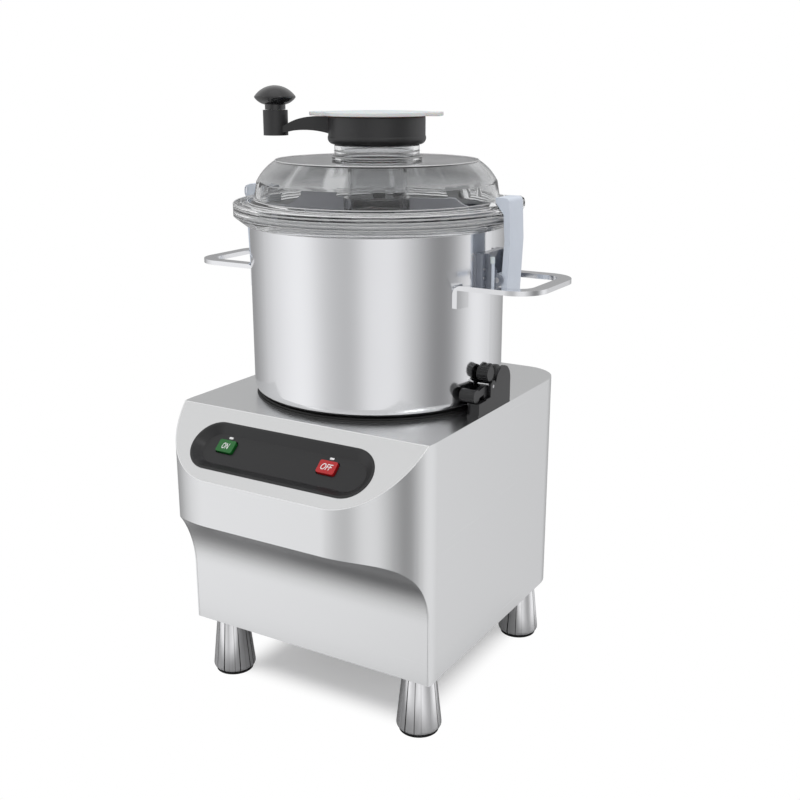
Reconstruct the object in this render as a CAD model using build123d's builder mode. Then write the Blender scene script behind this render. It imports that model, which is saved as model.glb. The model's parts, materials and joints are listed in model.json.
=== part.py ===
from build123d import *
from math import atan2, cos, degrees, radians, sin, sqrt
import os

# Commercial food chopper with a 6 litre cutter bowl.
# Millimetres, +Z up, +X to the right, the front faces -Y.
# Names in _UP are heights over the bowl's rim, names in _OVER heights over the housing.
# The origin is on the floor, below the centre of the housing.

# Housing
HOUSING_W = 266.7
HOUSING_D = 342.9
HOUSING_H = 225.9
LEG_H = 61.3
SHEET = 1.5
FRONT_CORNER_R = 72.0
BACK_CORNER_R = 40.0
SLOPE_RUN = 59.1
SLOPE_DROP = 50.0
LIP_DROP = 93.0
RECESS_DEPTH = 61.0
RECESS_R = 76.0
BOTTOM_PLATE_T = 2.0
FIT = 0.2
RUN = 0.4
SHAFT_FIT = 0.1

# Control dish
DISH_W = 192.0
DISH_H = 49.5
DISH_U = -1.0
DISH_V = -1.0
DISH_PROUD = 0.6
DISH_DEPTH = 5.5
DISH_RIM = 2.0
DISH_BEVEL = 7.5
DISH_FLOOR = 1.5
DISH_FLANGE = 4.0
BUTTON_W = 19.5
BUTTON_H = 13.5
BUTTON_R = 2.5
BUTTON_ROUND = 0.8
BUTTON_RISE = 3.5
BUTTON_TRAVEL = 1.5
BUTTON_FLANGE = 1.8
ON_U = -62.5
OFF_U = 47.6
BUTTON_V = 3.0
LAMP_V = 12.6
LAMP_W = 4.4
LAMP_H = 2.2
LAMP_RISE = 0.6
SWITCH_H = 5.0
SWITCH_W = 12.5
SWITCH_GAP = 0.5
BOARD_T = 1.6
BOARD_POST_R = 3.5

# Legs
LEG_SIDE_INSET = 24.65
LEG_FRONT_INSET = 24.45
LEG_BACK_INSET = 39.65
LEG_TOP_R = 15.2
LEG_FOOT_R = 21.5
LEG_FOOT_ROUND = 4.0
PAD_T = 2.5
PAD_R = 18.5
STUD_R = 5.0
STUD_LENGTH = 28.0
NUT_ACROSS = 17.0
NUT_H = 8.0

# Bowl
BOWL_Y = 20.8
BOWL_R = 120.0
BOWL_T = 1.5
BOWL_H = 166.7
BOWL_FOOT_R = 9.0
SEAT_H = 2.8
SEAT_R = 116.0
SEAT_IN_R = 98.0
SEAT_GAP = 0.3
TUBE_R = 17.5
TUBE_TOP_OVER = 67.8

# Bowl handles
HANDLE_REACH = 66.0
HANDLE_SPREAD = 45.5
HANDLE_BAR_W = 12.5
HANDLE_BAR_T = 4.3
HANDLE_TOP_UP = -50.5
HANDLE_DROP = 20.5
HANDLE_CORNER_R = 28.0
HANDLE_BEND_R = 8.0

# Drive
SHAFT_R = 8.0
SHAFT_TOP_OVER = 84.3
SHAFT_FLAT = 6.5
SHAFT_FLAT_L = 14.0
SHAFT_END_GAP = 1.0
TOWER_R = 14.5
TOWER_TOP_OVER = 32.8
MOTOR_R = 62.0
MOTOR_WALL = 5.0
MOTOR_TOP_OVER = -25.2
MOTOR_FLOOR_GAP = 46.7
END_CAP_H = 14.0
MOTOR_PLATE_R = 80.0
MOTOR_PLATE_T = 12.0
MOTOR_FIN_COUNT = 24
MOTOR_FIN_DEPTH = 3.0
STATOR_T = 19.5
WINDING_H = 11.0
WINDING_INSET = 3.0
STATOR_LOW_GAP = 25.0
STATOR_TOP_GAP = 27.0
ROTOR_R = 36.0
ROTOR_RING_R = 32.0
ROTOR_RING_T = 8.0
ROTOR_RING_H = 6.0
FAN_R = 48.0
FAN_BLADES = 9
FAN_H = 9.0
FAN_T = 1.5
FAN_HUB_T = 6.0
FAN_GAP = 2.0
BEARING_R = 20.0
BEARING_H = 12.0
SEAL_R = 13.0
SEAL_H = 6.0
MOTOR_BOLT_RING_R = 62.0
MOTOR_BOLT_R = 3.0
MOTOR_BOLT_HEAD_R = 5.5
MOTOR_BOLT_HEAD_H = 2.2

# Cutter
HUB_R = 26.0
HUB_BORE_R = 19.2
HUB_FLANGE_R = 32.0
HUB_FLANGE_T = 3.0
HUB_FLOOR_GAP = 3.5
HUB_ROOF_T = 16.0
BLADE_T = 2.2
BLADE_R = 101.0
BLADE_RING_R = 33.0
BLADE_TIP_ANGLE = 12.6
BLADE_TIP_W = 10.0
SPACER_H = 26.0
CLAMP_H = 10.0
SPACER_R = 31.0
EDGE_ROUND = 1.5
CAP_R = 21.0
CAP_H = 20.0
CAP_GRIPS = 6
CAP_GRIP_R = 7.0

# Lid
RIM_R = 134.5
RIM_TOP_UP = 11.7
RIM_SIDE_UP = 0.5
RIM_STEP = 1.2
SKIRT_R = 124.4
SKIRT_UP = -7.3
LID_T = 3.0
DOME_FOOT_R = 115.0
DOME_SHOULDER_R = 112.3
DOME_SHOULDER_UP = 31.0
DOME_TOP_R = 94.3
DOME_TOP_UP = 50.0
DOME_SWELL = 1.3
NECK_R = 39.5
NECK_FOOT_R = 42.0
NECK_FOOT_H = 3.0
NECK_UP = 64.0
SPIGOT_R = 37.0
SPIGOT_TOP_UP = 83.6
GASKET_H = 4.5

# Crank
RING_R = 45.0
RING_FOOT_R = 40.0
RING_TOP_UP = 89.0
RING_ROUND = 8.0
RING_EDGE = 1.0
FEED_R = 31.0
CHUTE_R = 24.8
CHUTE_T = 2.8
CHUTE_BOTTOM_UP = -5.0
CHUTE_NARROW_UP = 52.0
CHUTE_STEP = 11.0
CRANK_ANGLE = 200.0
CRANK_REACH = 97.0
ARM_W = 15.0
ARM_LOW_UP = 73.0
ARM_SINK = 2.0
ARM_CREST = 58.0
ARM_END_UP = 72.0
ARM_HOLLOW = 68.0
ARM_HOLLOW_UP = 76.3
POST_R = 11.6
POST_BOTTOM_UP = 71.0
POST_TOP_UP = 94.0
KNOB_NECK_R = 9.6
KNOB_NECK_H = 4.8
KNOB_R = 19.6
KNOB_WAIST_UP = 105.7
KNOB_TOP_UP = 116.2
KNOB_EDGE_R = 1.5
SPINDLE_R = 4.0
SPINDLE_DEPTH = 16.0
SPINDLE_RISE = 15.0

# Scraper
BAR_H = 14.0
BAR_T = 7.0
BAR_TOP_UP = 14.5
BAR_L = 74.0
BAR_COLLAR = 4.0
BAR_SINK = 1.0
ARM_IN_R = 103.5
ARM_T = 4.5
ARM_BOTTOM_OVER = 12.8
WIPER_R = 117.3
WIPER_T = 3.0
WIPER_TOP_UP = -5.0

# Feed lid
FEED_LID_T = 3.6
FEED_LID_R = 50.0
FEED_LID_SEAT = 0.4
FEED_PLUG_H = 10.0
FEED_TAB_LONG = 63.0
FEED_TAB_SHORT = 60.5
FEED_TAB_W = 22.0

# Lid latches
LATCH_W = 28.0
LATCH_PIN_X = 134.0
LATCH_PIN_UP = -49.0
LATCH_PIN_R = 2.5
LATCH_BOSS_R = 5.6
LATCH_FOOT_UP = -61.0
LATCH_TOP_UP = 22.5
LATCH_IN_X = 139.2
LATCH_BELLY_X = 144.8
LATCH_BELLY_UP = -14.0
LATCH_TAPER = 2.0
HOOK_ROUND = 4.0
HOOK_TIP_ROUND = 1.5
HOOK_TIP_X = 129.8
HOOK_TIP_UP = 18.2
HOOK_ROOT_X = 137.6
HOOK_ROOT_UP = 8.4
EAR_T = 2.8
EAR_R = 5.6
BRACKET_W = 48.0
BRACKET_BOTTOM_UP = -60.0
BRACKET_TOP_UP = -26.0
BRACKET_X = 123.5
BRACKET_ROUND = 2.0
RIB_T = 4.0
RIB_TOP_UP = 22.0
RIB_X = 143.0
RIB_BOTTOM_UP = 9.0
RIB_ROUND = 5.0
LUG_IN_X = 124.0
LUG_GAP = 0.5

# Bowl catch
CATCH_IN_X = 121.3
CATCH_OUT_X = 132.6
CATCH_CHEEK_T = 2.8
CATCH_PIN_Y = 6.0
CATCH_PIN_OVER = 22.8
CATCH_PIN_R = 1.6
CATCH_EAR_R = 5.5
CATCH_BACK_Y = 42.0
CATCH_FRONT_Y = -8.0
CATCH_HUMP_R = 15.5
CATCH_TOP_OVER = 37.8
CATCH_STEP_OVER = 13.8
CATCH_FOOT_T = 2.5
CATCH_BLOCK_Y = -24.0
CATCH_BLOCK_H = 12.8
CATCH_BLOCK_X = 119.0
CATCH_BLOCK_ROUND = 7.0
LOBE_R = 6.8
LOBE_Y = 2.0
LOBE_OVER = 35.3
LOBE_X = 120.2
LEVER_W = 7.0
LEVER_BOSS_R = 5.0
CATCH_ROUND = 2.0
NOSE_Y = -22.0
NOSE_OVER = 19.4
NOSE_R = 6.0
NOSE_X = 115.0
TAIL_Y = -1.0
TAIL_OVER = 16.3
TAIL_R = 6.0

# Heights and places that follow from the sizes above
TOP_Z = LEG_H + HOUSING_H
LIP_Z = TOP_Z - LIP_DROP
FRONT_Y = -HOUSING_D / 2
PANEL_Y = FRONT_Y + RECESS_DEPTH
ARC_Y = PANEL_Y - RECESS_R
ARC_Z = LIP_Z - sqrt(RECESS_R**2 - (FRONT_Y - ARC_Y) ** 2)
LIP_ANGLE = degrees(atan2(LIP_Z - ARC_Z, FRONT_Y - ARC_Y))
SEAT_TOP_Z = TOP_Z + SEAT_H
BOWL_Z = SEAT_TOP_Z + SEAT_GAP
TUBE_IN_R = TUBE_R - BOWL_T
FLOOR_Z = LEG_H + BOTTOM_PLATE_T
BOWL_TOP_Z = BOWL_Z + BOWL_H
HANDLE_TOP_Z = BOWL_TOP_Z + HANDLE_TOP_UP
RIM_TOP_Z = BOWL_TOP_Z + RIM_TOP_UP
RIM_SIDE_Z = BOWL_TOP_Z + RIM_SIDE_UP
SKIRT_Z = BOWL_TOP_Z + SKIRT_UP
DOME_SHOULDER_Z = BOWL_TOP_Z + DOME_SHOULDER_UP
DOME_TOP_Z = BOWL_TOP_Z + DOME_TOP_UP
NECK_Z = BOWL_TOP_Z + NECK_UP
SPIGOT_TOP_Z = BOWL_TOP_Z + SPIGOT_TOP_UP
RING_TOP_Z = BOWL_TOP_Z + RING_TOP_UP
CHUTE_BOTTOM_Z = BOWL_TOP_Z + CHUTE_BOTTOM_UP
CHUTE_NARROW_Z = BOWL_TOP_Z + CHUTE_NARROW_UP
ARM_LOW_Z = BOWL_TOP_Z + ARM_LOW_UP
ARM_END_Z = BOWL_TOP_Z + ARM_END_UP
ARM_HOLLOW_Z = BOWL_TOP_Z + ARM_HOLLOW_UP
POST_BOTTOM_Z = BOWL_TOP_Z + POST_BOTTOM_UP
POST_TOP_Z = BOWL_TOP_Z + POST_TOP_UP
KNOB_WAIST_Z = BOWL_TOP_Z + KNOB_WAIST_UP
KNOB_TOP_Z = BOWL_TOP_Z + KNOB_TOP_UP
BAR_TOP_Z = BOWL_TOP_Z + BAR_TOP_UP
WIPER_TOP_Z = BOWL_TOP_Z + WIPER_TOP_UP
LATCH_PIN_Z = BOWL_TOP_Z + LATCH_PIN_UP
LATCH_FOOT_Z = BOWL_TOP_Z + LATCH_FOOT_UP
LATCH_TOP_Z = BOWL_TOP_Z + LATCH_TOP_UP
LATCH_BELLY_Z = BOWL_TOP_Z + LATCH_BELLY_UP
HOOK_TIP_Z = BOWL_TOP_Z + HOOK_TIP_UP
HOOK_ROOT_Z = BOWL_TOP_Z + HOOK_ROOT_UP
BRACKET_BOTTOM_Z = BOWL_TOP_Z + BRACKET_BOTTOM_UP
BRACKET_TOP_Z = BOWL_TOP_Z + BRACKET_TOP_UP
RIB_TOP_Z = BOWL_TOP_Z + RIB_TOP_UP
RIB_BOTTOM_Z = BOWL_TOP_Z + RIB_BOTTOM_UP
TUBE_TOP_Z = TOP_Z + TUBE_TOP_OVER
SHAFT_TOP_Z = TOP_Z + SHAFT_TOP_OVER
TOWER_TOP_Z = TOP_Z + TOWER_TOP_OVER
MOTOR_TOP_Z = TOP_Z + MOTOR_TOP_OVER
ARM_BOTTOM_Z = TOP_Z + ARM_BOTTOM_OVER
CATCH_PIN_Z = TOP_Z + CATCH_PIN_OVER
CATCH_TOP_Z = TOP_Z + CATCH_TOP_OVER
CATCH_STEP_Z = TOP_Z + CATCH_STEP_OVER
LOBE_Z = TOP_Z + LOBE_OVER
NOSE_Z = TOP_Z + NOSE_OVER
TAIL_Z = TOP_Z + TAIL_OVER
MOTOR_BOTTOM_Z = FLOOR_Z + MOTOR_FLOOR_GAP
STATOR_BOTTOM_Z = MOTOR_BOTTOM_Z + STATOR_LOW_GAP
STATOR_TOP_Z = MOTOR_TOP_Z - STATOR_TOP_GAP
SHEET_UNDER_Z = TOP_Z - SHEET
HUB_Z = BOWL_Z + BOWL_T + HUB_FLOOR_GAP
HUB_SHELF_Z = HUB_Z + HUB_FLANGE_T
HUB_ROOF_Z = TUBE_TOP_Z + HUB_FLOOR_GAP
HUB_TOP_Z = HUB_ROOF_Z + HUB_ROOF_T
BLADE2_Z = HUB_SHELF_Z + BLADE_T + SPACER_H
BOWL_AXIS = Axis((0, BOWL_Y, 0), (0, 0, 1))
BOWL_XZ = Plane(origin=(0, BOWL_Y, 0), x_dir=(1, 0, 0), z_dir=(0, -1, 0))
ARM_DIR = Vector(cos(radians(CRANK_ANGLE)), sin(radians(CRANK_ANGLE)), 0)
ARM_PLANE = Plane(
    origin=(0, BOWL_Y, 0), x_dir=ARM_DIR, z_dir=(ARM_DIR.Y, -ARM_DIR.X, 0)
)
ARM_TOP_Z = RING_TOP_Z - RING_EDGE / 2
KNOB_X = CRANK_REACH * ARM_DIR.X
KNOB_Y = BOWL_Y + CRANK_REACH * ARM_DIR.Y
SLOPE_CENTRE = (0, FRONT_Y + SLOPE_RUN / 2, TOP_Z - SLOPE_DROP / 2)
SLOPE_PLANE = Plane(origin=SLOPE_CENTRE, x_dir=(1, 0, 0), z_dir=(0, -SLOPE_DROP, SLOPE_RUN))
DISH_PLANE = Plane(
    origin=SLOPE_PLANE.from_local_coords((DISH_U, DISH_V, 0)),
    x_dir=(1, 0, 0),
    z_dir=SLOPE_PLANE.z_dir,
)
DISH_AXIS = Axis((0, 0, 0), DISH_PLANE.z_dir)
DISH_BACK = DISH_DEPTH + DISH_FLOOR
BUTTON_BACK = DISH_BACK + FIT + BUTTON_FLANGE
SWITCH_FACE = BUTTON_BACK + BUTTON_TRAVEL + SWITCH_GAP
BOARD_FACE = SWITCH_FACE + SWITCH_H
KNOB_UNDER = (0.8 * KNOB_R, 0.6 * (POST_TOP_Z + KNOB_NECK_H) + 0.4 * KNOB_WAIST_Z)
LUG_EDGE_Z = HOOK_TIP_Z - LUG_GAP - (RIM_R - HOOK_TIP_X) * (HOOK_TIP_Z - HOOK_ROOT_Z) / (
    HOOK_ROOT_X - HOOK_TIP_X
)
LEG_X = HOUSING_W / 2 - LEG_SIDE_INSET
LEG_FRONT_Y = PANEL_Y + LEG_FRONT_INSET
LEG_BACK_Y = -FRONT_Y - LEG_BACK_INSET
LEG_PLACES = [(x, y) for x in (-LEG_X, LEG_X) for y in (LEG_FRONT_Y, LEG_BACK_Y)]

os.makedirs("parts", exist_ok=True)
pieces = []


def finish(builder, name):
    """Label a finished piece and keep it for writing."""
    builder.part.label = name
    pieces.append(builder.part)


def disc(radius, low_z, high_z, bore=0, mode=Mode.ADD):
    """A plain disc or ring about the bowl axis, in the open part."""
    with BuildSketch(Plane.XY.offset(low_z)) as ring:
        with Locations((0, BOWL_Y)):
            Circle(radius)
            if bore:
                Circle(bore, mode=Mode.SUBTRACT)
    extrude(ring.sketch, amount=high_z - low_z, mode=mode)


# Housing: a sloped front with the control dish and a lip over a hollow front panel
def housing_form(inset):
    """The housing's outer form, drawn in by a distance on every closed side."""
    with BuildPart() as form:
        with BuildSketch(Plane.XY.offset(LEG_H)) as plan:
            Rectangle(HOUSING_W, HOUSING_D)
            fillet(plan.vertices().group_by(Axis.Y)[0], FRONT_CORNER_R)
            fillet(plan.vertices().group_by(Axis.Y)[-1], BACK_CORNER_R)
            if inset:
                offset(amount=-inset)
        extrude(amount=HOUSING_H - inset)
        with BuildSketch(Plane.YZ):
            with BuildLine():
                Polyline(
                    (FRONT_Y, 0),
                    (-FRONT_Y, 0),
                    (-FRONT_Y, TOP_Z),
                    (FRONT_Y + SLOPE_RUN, TOP_Z),
                    (FRONT_Y, TOP_Z - SLOPE_DROP),
                    close=True,
                )
            make_face()
            if inset:
                offset(amount=-inset, kind=Kind.INTERSECTION)
        extrude(amount=HOUSING_W, both=True, mode=Mode.INTERSECT)
    return form.part


with BuildPart() as housing_shell:
    add(housing_form(0))
    add(housing_form(SHEET), mode=Mode.SUBTRACT)
    with BuildSketch(Plane.YZ):
        with BuildLine():
            top_of_recess = Line((FRONT_Y - SHEET, LIP_Z), (FRONT_Y, LIP_Z))
            CenterArc((ARC_Y, ARC_Z), RECESS_R, 0, LIP_ANGLE)
            Line((PANEL_Y, ARC_Z), (PANEL_Y, 0))
            Line((PANEL_Y, 0), (FRONT_Y - SHEET, 0))
            Line((FRONT_Y - SHEET, 0), top_of_recess @ 0)
        make_face()
    extrude(amount=HOUSING_W, both=True, mode=Mode.SUBTRACT)
    disc(TOWER_R + MOTOR_WALL + FIT, SHEET_UNDER_Z - SHEET, TOP_Z + SHEET, mode=Mode.SUBTRACT)
    with BuildSketch(Plane.XY.offset(TOP_Z)):
        with Locations((0, BOWL_Y)):
            with PolarLocations(MOTOR_BOLT_RING_R, 4, start_angle=45):
                Circle(MOTOR_BOLT_R + FIT)
    extrude(amount=-2 * SHEET, mode=Mode.SUBTRACT)
    with BuildSketch(DISH_PLANE):
        SlotOverall(DISH_W + 2 * FIT, DISH_H + 2 * FIT)
    extrude(amount=DISH_DEPTH, both=True, mode=Mode.SUBTRACT)
finish(housing_shell, "housing_shell")

with BuildPart() as front_panel:
    add(housing_form(SHEET + FIT))
    with BuildSketch(Plane.YZ):
        with BuildLine():
            face_arc = CenterArc((ARC_Y, ARC_Z), RECESS_R, 0, LIP_ANGLE)
            back_arc = CenterArc((ARC_Y, ARC_Z), RECESS_R + SHEET, 0, LIP_ANGLE)
            Line(face_arc @ 1, back_arc @ 1)
            Line((PANEL_Y, ARC_Z), (PANEL_Y, LEG_H))
            Line((PANEL_Y, LEG_H), (PANEL_Y + SHEET, LEG_H))
            Line((PANEL_Y + SHEET, LEG_H), (PANEL_Y + SHEET, ARC_Z))
        make_face()
    extrude(amount=HOUSING_W, both=True, mode=Mode.INTERSECT)
finish(front_panel, "front_panel")

# Bottom plate with vent slots, the stud holes and the hole of the cable gland
GLAND_LEG_GAP = 38.7
GLAND_BACK_INSET = 31.45
GLAND_X = LEG_X - GLAND_LEG_GAP
GLAND_Y = -FRONT_Y - GLAND_BACK_INSET
GLAND_R = 8.0
VENT_L = 60.0
VENT_W = 5.0
VENT_PITCH = 12.0
VENT_COUNT = 5
with BuildPart() as bottom_plate:
    with BuildSketch(Plane.XY.offset(LEG_H)) as plate_plan:
        Rectangle(HOUSING_W, HOUSING_D)
        fillet(plate_plan.vertices().group_by(Axis.Y)[0], FRONT_CORNER_R)
        fillet(plate_plan.vertices().group_by(Axis.Y)[-1], BACK_CORNER_R)
        offset(amount=-SHEET - FIT)
        with Locations((0, PANEL_Y + SHEET + FIT)):
            Rectangle(HOUSING_W, HOUSING_D, align=(Align.CENTER, Align.MAX), mode=Mode.SUBTRACT)
        with Locations(LEG_PLACES):
            Circle(STUD_R + FIT, mode=Mode.SUBTRACT)
        with Locations((GLAND_X, GLAND_Y)):
            Circle(GLAND_R + FIT, mode=Mode.SUBTRACT)
        with Locations((0, BOWL_Y)):
            with GridLocations(0, VENT_PITCH, 1, VENT_COUNT):
                SlotOverall(VENT_L, VENT_W, mode=Mode.SUBTRACT)
    extrude(amount=BOTTOM_PLATE_T)
finish(bottom_plate, "bottom_plate")


# Legs: flared, polished, each with a rubber pad and a stud and nut through the bottom plate
def leg_at(place):
    """One flared leg with a blind hole for its stud."""
    with BuildPart() as leg:
        with BuildSketch(Plane(origin=(*place, 0), x_dir=(1, 0, 0), z_dir=(0, -1, 0))) as side:
            with BuildLine():
                Polyline((0, PAD_T), (LEG_FOOT_R, PAD_T), (LEG_TOP_R, LEG_H), (0, LEG_H), close=True)
            make_face()
            foot = side.vertices().sort_by(Axis.X)[-1]
            fillet(foot, LEG_FOOT_ROUND)
        revolve(axis=Axis((*place, 0), (0, 0, 1)))
        with BuildSketch(Plane.XY.offset(LEG_H)):
            with Locations(place):
                Circle(STUD_R)
        extrude(amount=-STUD_LENGTH / 2, mode=Mode.SUBTRACT)
    return leg


for place, name in zip(
    LEG_PLACES, ("leg_front_left", "leg_rear_left", "leg_front_right", "leg_rear_right")
):
    finish(leg_at(place), name)

with BuildPart() as leg_pads:
    with BuildSketch():
        with Locations(LEG_PLACES):
            Circle(PAD_R)
    extrude(amount=PAD_T)
finish(leg_pads, "leg_pads")

with BuildPart() as leg_studs:
    with BuildSketch(Plane.XY.offset(LEG_H - STUD_LENGTH / 2)):
        with Locations(LEG_PLACES):
            Circle(STUD_R)
    extrude(amount=STUD_LENGTH)
finish(leg_studs, "leg_studs")

with BuildPart() as leg_nuts:
    with BuildSketch(Plane.XY.offset(FLOOR_Z)):
        with Locations(LEG_PLACES):
            RegularPolygon(NUT_ACROSS / 2, 6, major_radius=False)
            Circle(STUD_R, mode=Mode.SUBTRACT)
    extrude(amount=NUT_H)
finish(leg_nuts, "leg_nuts")

# Control dish with its buttons, lamps and switch board
with BuildPart() as control_dish:
    with BuildSketch(DISH_PLANE.offset(DISH_PROUD)):
        SlotOverall(DISH_W, DISH_H)
    extrude(amount=-DISH_PROUD - DISH_BACK)
    with BuildSketch(DISH_PLANE.offset(-SHEET)):
        SlotOverall(DISH_W + 2 * DISH_FLANGE, DISH_H + 2 * DISH_FLANGE)
    extrude(amount=-SHEET)
    with BuildSketch(DISH_PLANE.offset(DISH_PROUD)):
        SlotOverall(DISH_W - 2 * DISH_RIM, DISH_H - 2 * DISH_RIM)
    with BuildSketch(DISH_PLANE.offset(-DISH_DEPTH)):
        SlotOverall(DISH_W - 2 * (DISH_RIM + DISH_BEVEL), DISH_H - 2 * (DISH_RIM + DISH_BEVEL))
    loft(mode=Mode.SUBTRACT)
    with BuildSketch(DISH_PLANE.offset(-DISH_DEPTH)):
        for u in (ON_U, OFF_U):
            with Locations((u, BUTTON_V)):
                RectangleRounded(BUTTON_W + 2 * RUN, BUTTON_H + 2 * RUN, BUTTON_R + RUN)
            with Locations((u, LAMP_V)):
                RectangleRounded(LAMP_W, LAMP_H, LAMP_H / 4)
    extrude(amount=-2 * DISH_FLOOR, mode=Mode.SUBTRACT)
finish(control_dish, "control_dish")


def button_at(u):
    """A push button through the dish floor, with a retaining flange behind it."""
    with BuildPart() as button:
        with BuildSketch(DISH_PLANE.offset(-DISH_BACK - FIT)):
            with Locations((u, BUTTON_V)):
                RectangleRounded(BUTTON_W, BUTTON_H, BUTTON_R)
        extrude(amount=DISH_FLOOR + FIT + BUTTON_RISE)
        fillet(button.faces().sort_by(DISH_AXIS)[-1].edges(), BUTTON_ROUND)
        with BuildSketch(DISH_PLANE.offset(-DISH_BACK - FIT)):
            with Locations((u, BUTTON_V)):
                RectangleRounded(BUTTON_W + 2 * BUTTON_FLANGE, BUTTON_H + 2 * BUTTON_FLANGE, BUTTON_R)
        extrude(amount=-BUTTON_FLANGE)
    return button


def lamp_at(u):
    """A small window lamp above a button."""
    with BuildPart() as lamp:
        with BuildSketch(DISH_PLANE.offset(-DISH_BACK)):
            with Locations((u, LAMP_V)):
                RectangleRounded(LAMP_W, LAMP_H, LAMP_H / 4)
        extrude(amount=DISH_FLOOR + LAMP_RISE)
    return lamp


finish(button_at(ON_U), "on_button")
finish(button_at(OFF_U), "off_button")
finish(lamp_at(ON_U), "on_lamp")
finish(lamp_at(OFF_U), "off_lamp")

with BuildPart() as switch_board:
    with BuildSketch(DISH_PLANE.offset(-BOARD_FACE)):
        Rectangle(DISH_W - 2 * DISH_RIM, DISH_H / 2)
    extrude(amount=-BOARD_T)
    with BuildSketch(DISH_PLANE.offset(-BOARD_FACE)):
        for u in (ON_U, OFF_U):
            with Locations((u, BUTTON_V)):
                Rectangle(SWITCH_W, SWITCH_W)
    extrude(amount=SWITCH_H)
    with BuildSketch(DISH_PLANE.offset(-BOARD_FACE)):
        with GridLocations(DISH_W - 4 * DISH_RIM - 2 * BOARD_POST_R, 0, 2, 1):
            Circle(BOARD_POST_R)
    extrude(amount=BOARD_FACE - DISH_BACK)
finish(switch_board, "switch_board")

# Seat of the bowl and the drive below it
with BuildPart() as seat_ring:
    disc(SEAT_R, TOP_Z, SEAT_TOP_Z, bore=SEAT_IN_R)
    outer_edge = seat_ring.edges().group_by(Axis.Z)[-1].sort_by(SortBy.LENGTH)[-1]
    fillet(outer_edge, SEAT_H / 3)
finish(seat_ring, "seat_ring")

with BuildPart() as motor_plate:
    disc(MOTOR_PLATE_R, SHEET_UNDER_Z - MOTOR_PLATE_T, SHEET_UNDER_Z)
    disc(MOTOR_R, MOTOR_TOP_Z, SHEET_UNDER_Z)
    disc(TOWER_R + MOTOR_WALL, SHEET_UNDER_Z, SEAT_TOP_Z - 2 * SEAT_GAP)
    disc(TOWER_R, SHEET_UNDER_Z, TOWER_TOP_Z)
    disc(SHAFT_R + RUN, MOTOR_TOP_Z, TOWER_TOP_Z, mode=Mode.SUBTRACT)
    disc(BEARING_R, MOTOR_TOP_Z, MOTOR_TOP_Z + BEARING_H, mode=Mode.SUBTRACT)
    disc(SEAL_R, TOWER_TOP_Z - SEAL_H, TOWER_TOP_Z, mode=Mode.SUBTRACT)
    with BuildSketch(Plane.XY.offset(SHEET_UNDER_Z)):
        with Locations((0, BOWL_Y)):
            with PolarLocations(MOTOR_BOLT_RING_R, 4, start_angle=45):
                Circle(MOTOR_BOLT_R)
    extrude(amount=-MOTOR_PLATE_T, mode=Mode.SUBTRACT)
finish(motor_plate, "motor_plate")

with BuildPart() as motor_bolts:
    with BuildSketch(Plane.XY.offset(SHEET_UNDER_Z - MOTOR_PLATE_T)):
        with Locations((0, BOWL_Y)):
            with PolarLocations(MOTOR_BOLT_RING_R, 4, start_angle=45):
                Circle(MOTOR_BOLT_R)
    extrude(amount=MOTOR_PLATE_T + SHEET)
    with BuildSketch(Plane.XY.offset(TOP_Z)):
        with Locations((0, BOWL_Y)):
            with PolarLocations(MOTOR_BOLT_RING_R, 4, start_angle=45):
                Circle(MOTOR_BOLT_HEAD_R)
    extrude(amount=MOTOR_BOLT_HEAD_H)
finish(motor_bolts, "motor_bolts")

with BuildPart() as motor_frame:
    disc(MOTOR_R, MOTOR_BOTTOM_Z, MOTOR_TOP_Z, bore=MOTOR_R - MOTOR_WALL)
    with BuildSketch(Plane.XY.offset(MOTOR_BOTTOM_Z + END_CAP_H)):
        with Locations((0, BOWL_Y)):
            with PolarLocations(MOTOR_R, MOTOR_FIN_COUNT):
                Rectangle(2 * MOTOR_FIN_DEPTH, MOTOR_FIN_DEPTH)
    extrude(amount=MOTOR_TOP_Z - MOTOR_BOTTOM_Z - 2 * END_CAP_H, mode=Mode.SUBTRACT)
finish(motor_frame, "motor_frame")

with BuildPart() as motor_end_cap:
    disc(MOTOR_R, MOTOR_BOTTOM_Z - END_CAP_H, MOTOR_BOTTOM_Z)
    disc(MOTOR_R - MOTOR_WALL, MOTOR_BOTTOM_Z - END_CAP_H / 2, MOTOR_BOTTOM_Z, mode=Mode.SUBTRACT)
    disc(BEARING_R + MOTOR_WALL, MOTOR_BOTTOM_Z - END_CAP_H, MOTOR_BOTTOM_Z - FAN_GAP / 2)
    disc(BEARING_R, MOTOR_BOTTOM_Z - BEARING_H, MOTOR_BOTTOM_Z, mode=Mode.SUBTRACT)
finish(motor_end_cap, "motor_end_cap")

with BuildPart() as stator:
    disc(MOTOR_R - MOTOR_WALL, STATOR_BOTTOM_Z, STATOR_TOP_Z, bore=MOTOR_R - MOTOR_WALL - STATOR_T)
    disc(
        MOTOR_R - 2 * MOTOR_WALL,
        STATOR_BOTTOM_Z - WINDING_H,
        STATOR_TOP_Z + WINDING_H,
        bore=MOTOR_R - MOTOR_WALL - STATOR_T + WINDING_INSET,
    )
finish(stator, "stator")

with BuildPart() as upper_bearing:
    disc(BEARING_R, MOTOR_TOP_Z, MOTOR_TOP_Z + BEARING_H, bore=SHAFT_R + SHAFT_FIT)
finish(upper_bearing, "upper_bearing")

with BuildPart() as lower_bearing:
    disc(BEARING_R, MOTOR_BOTTOM_Z - BEARING_H, MOTOR_BOTTOM_Z, bore=SHAFT_R + SHAFT_FIT)
finish(lower_bearing, "lower_bearing")

with BuildPart() as shaft_seal:
    disc(SEAL_R, TOWER_TOP_Z - SEAL_H, TOWER_TOP_Z, bore=SHAFT_R + SHAFT_FIT)
finish(shaft_seal, "shaft_seal")


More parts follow.
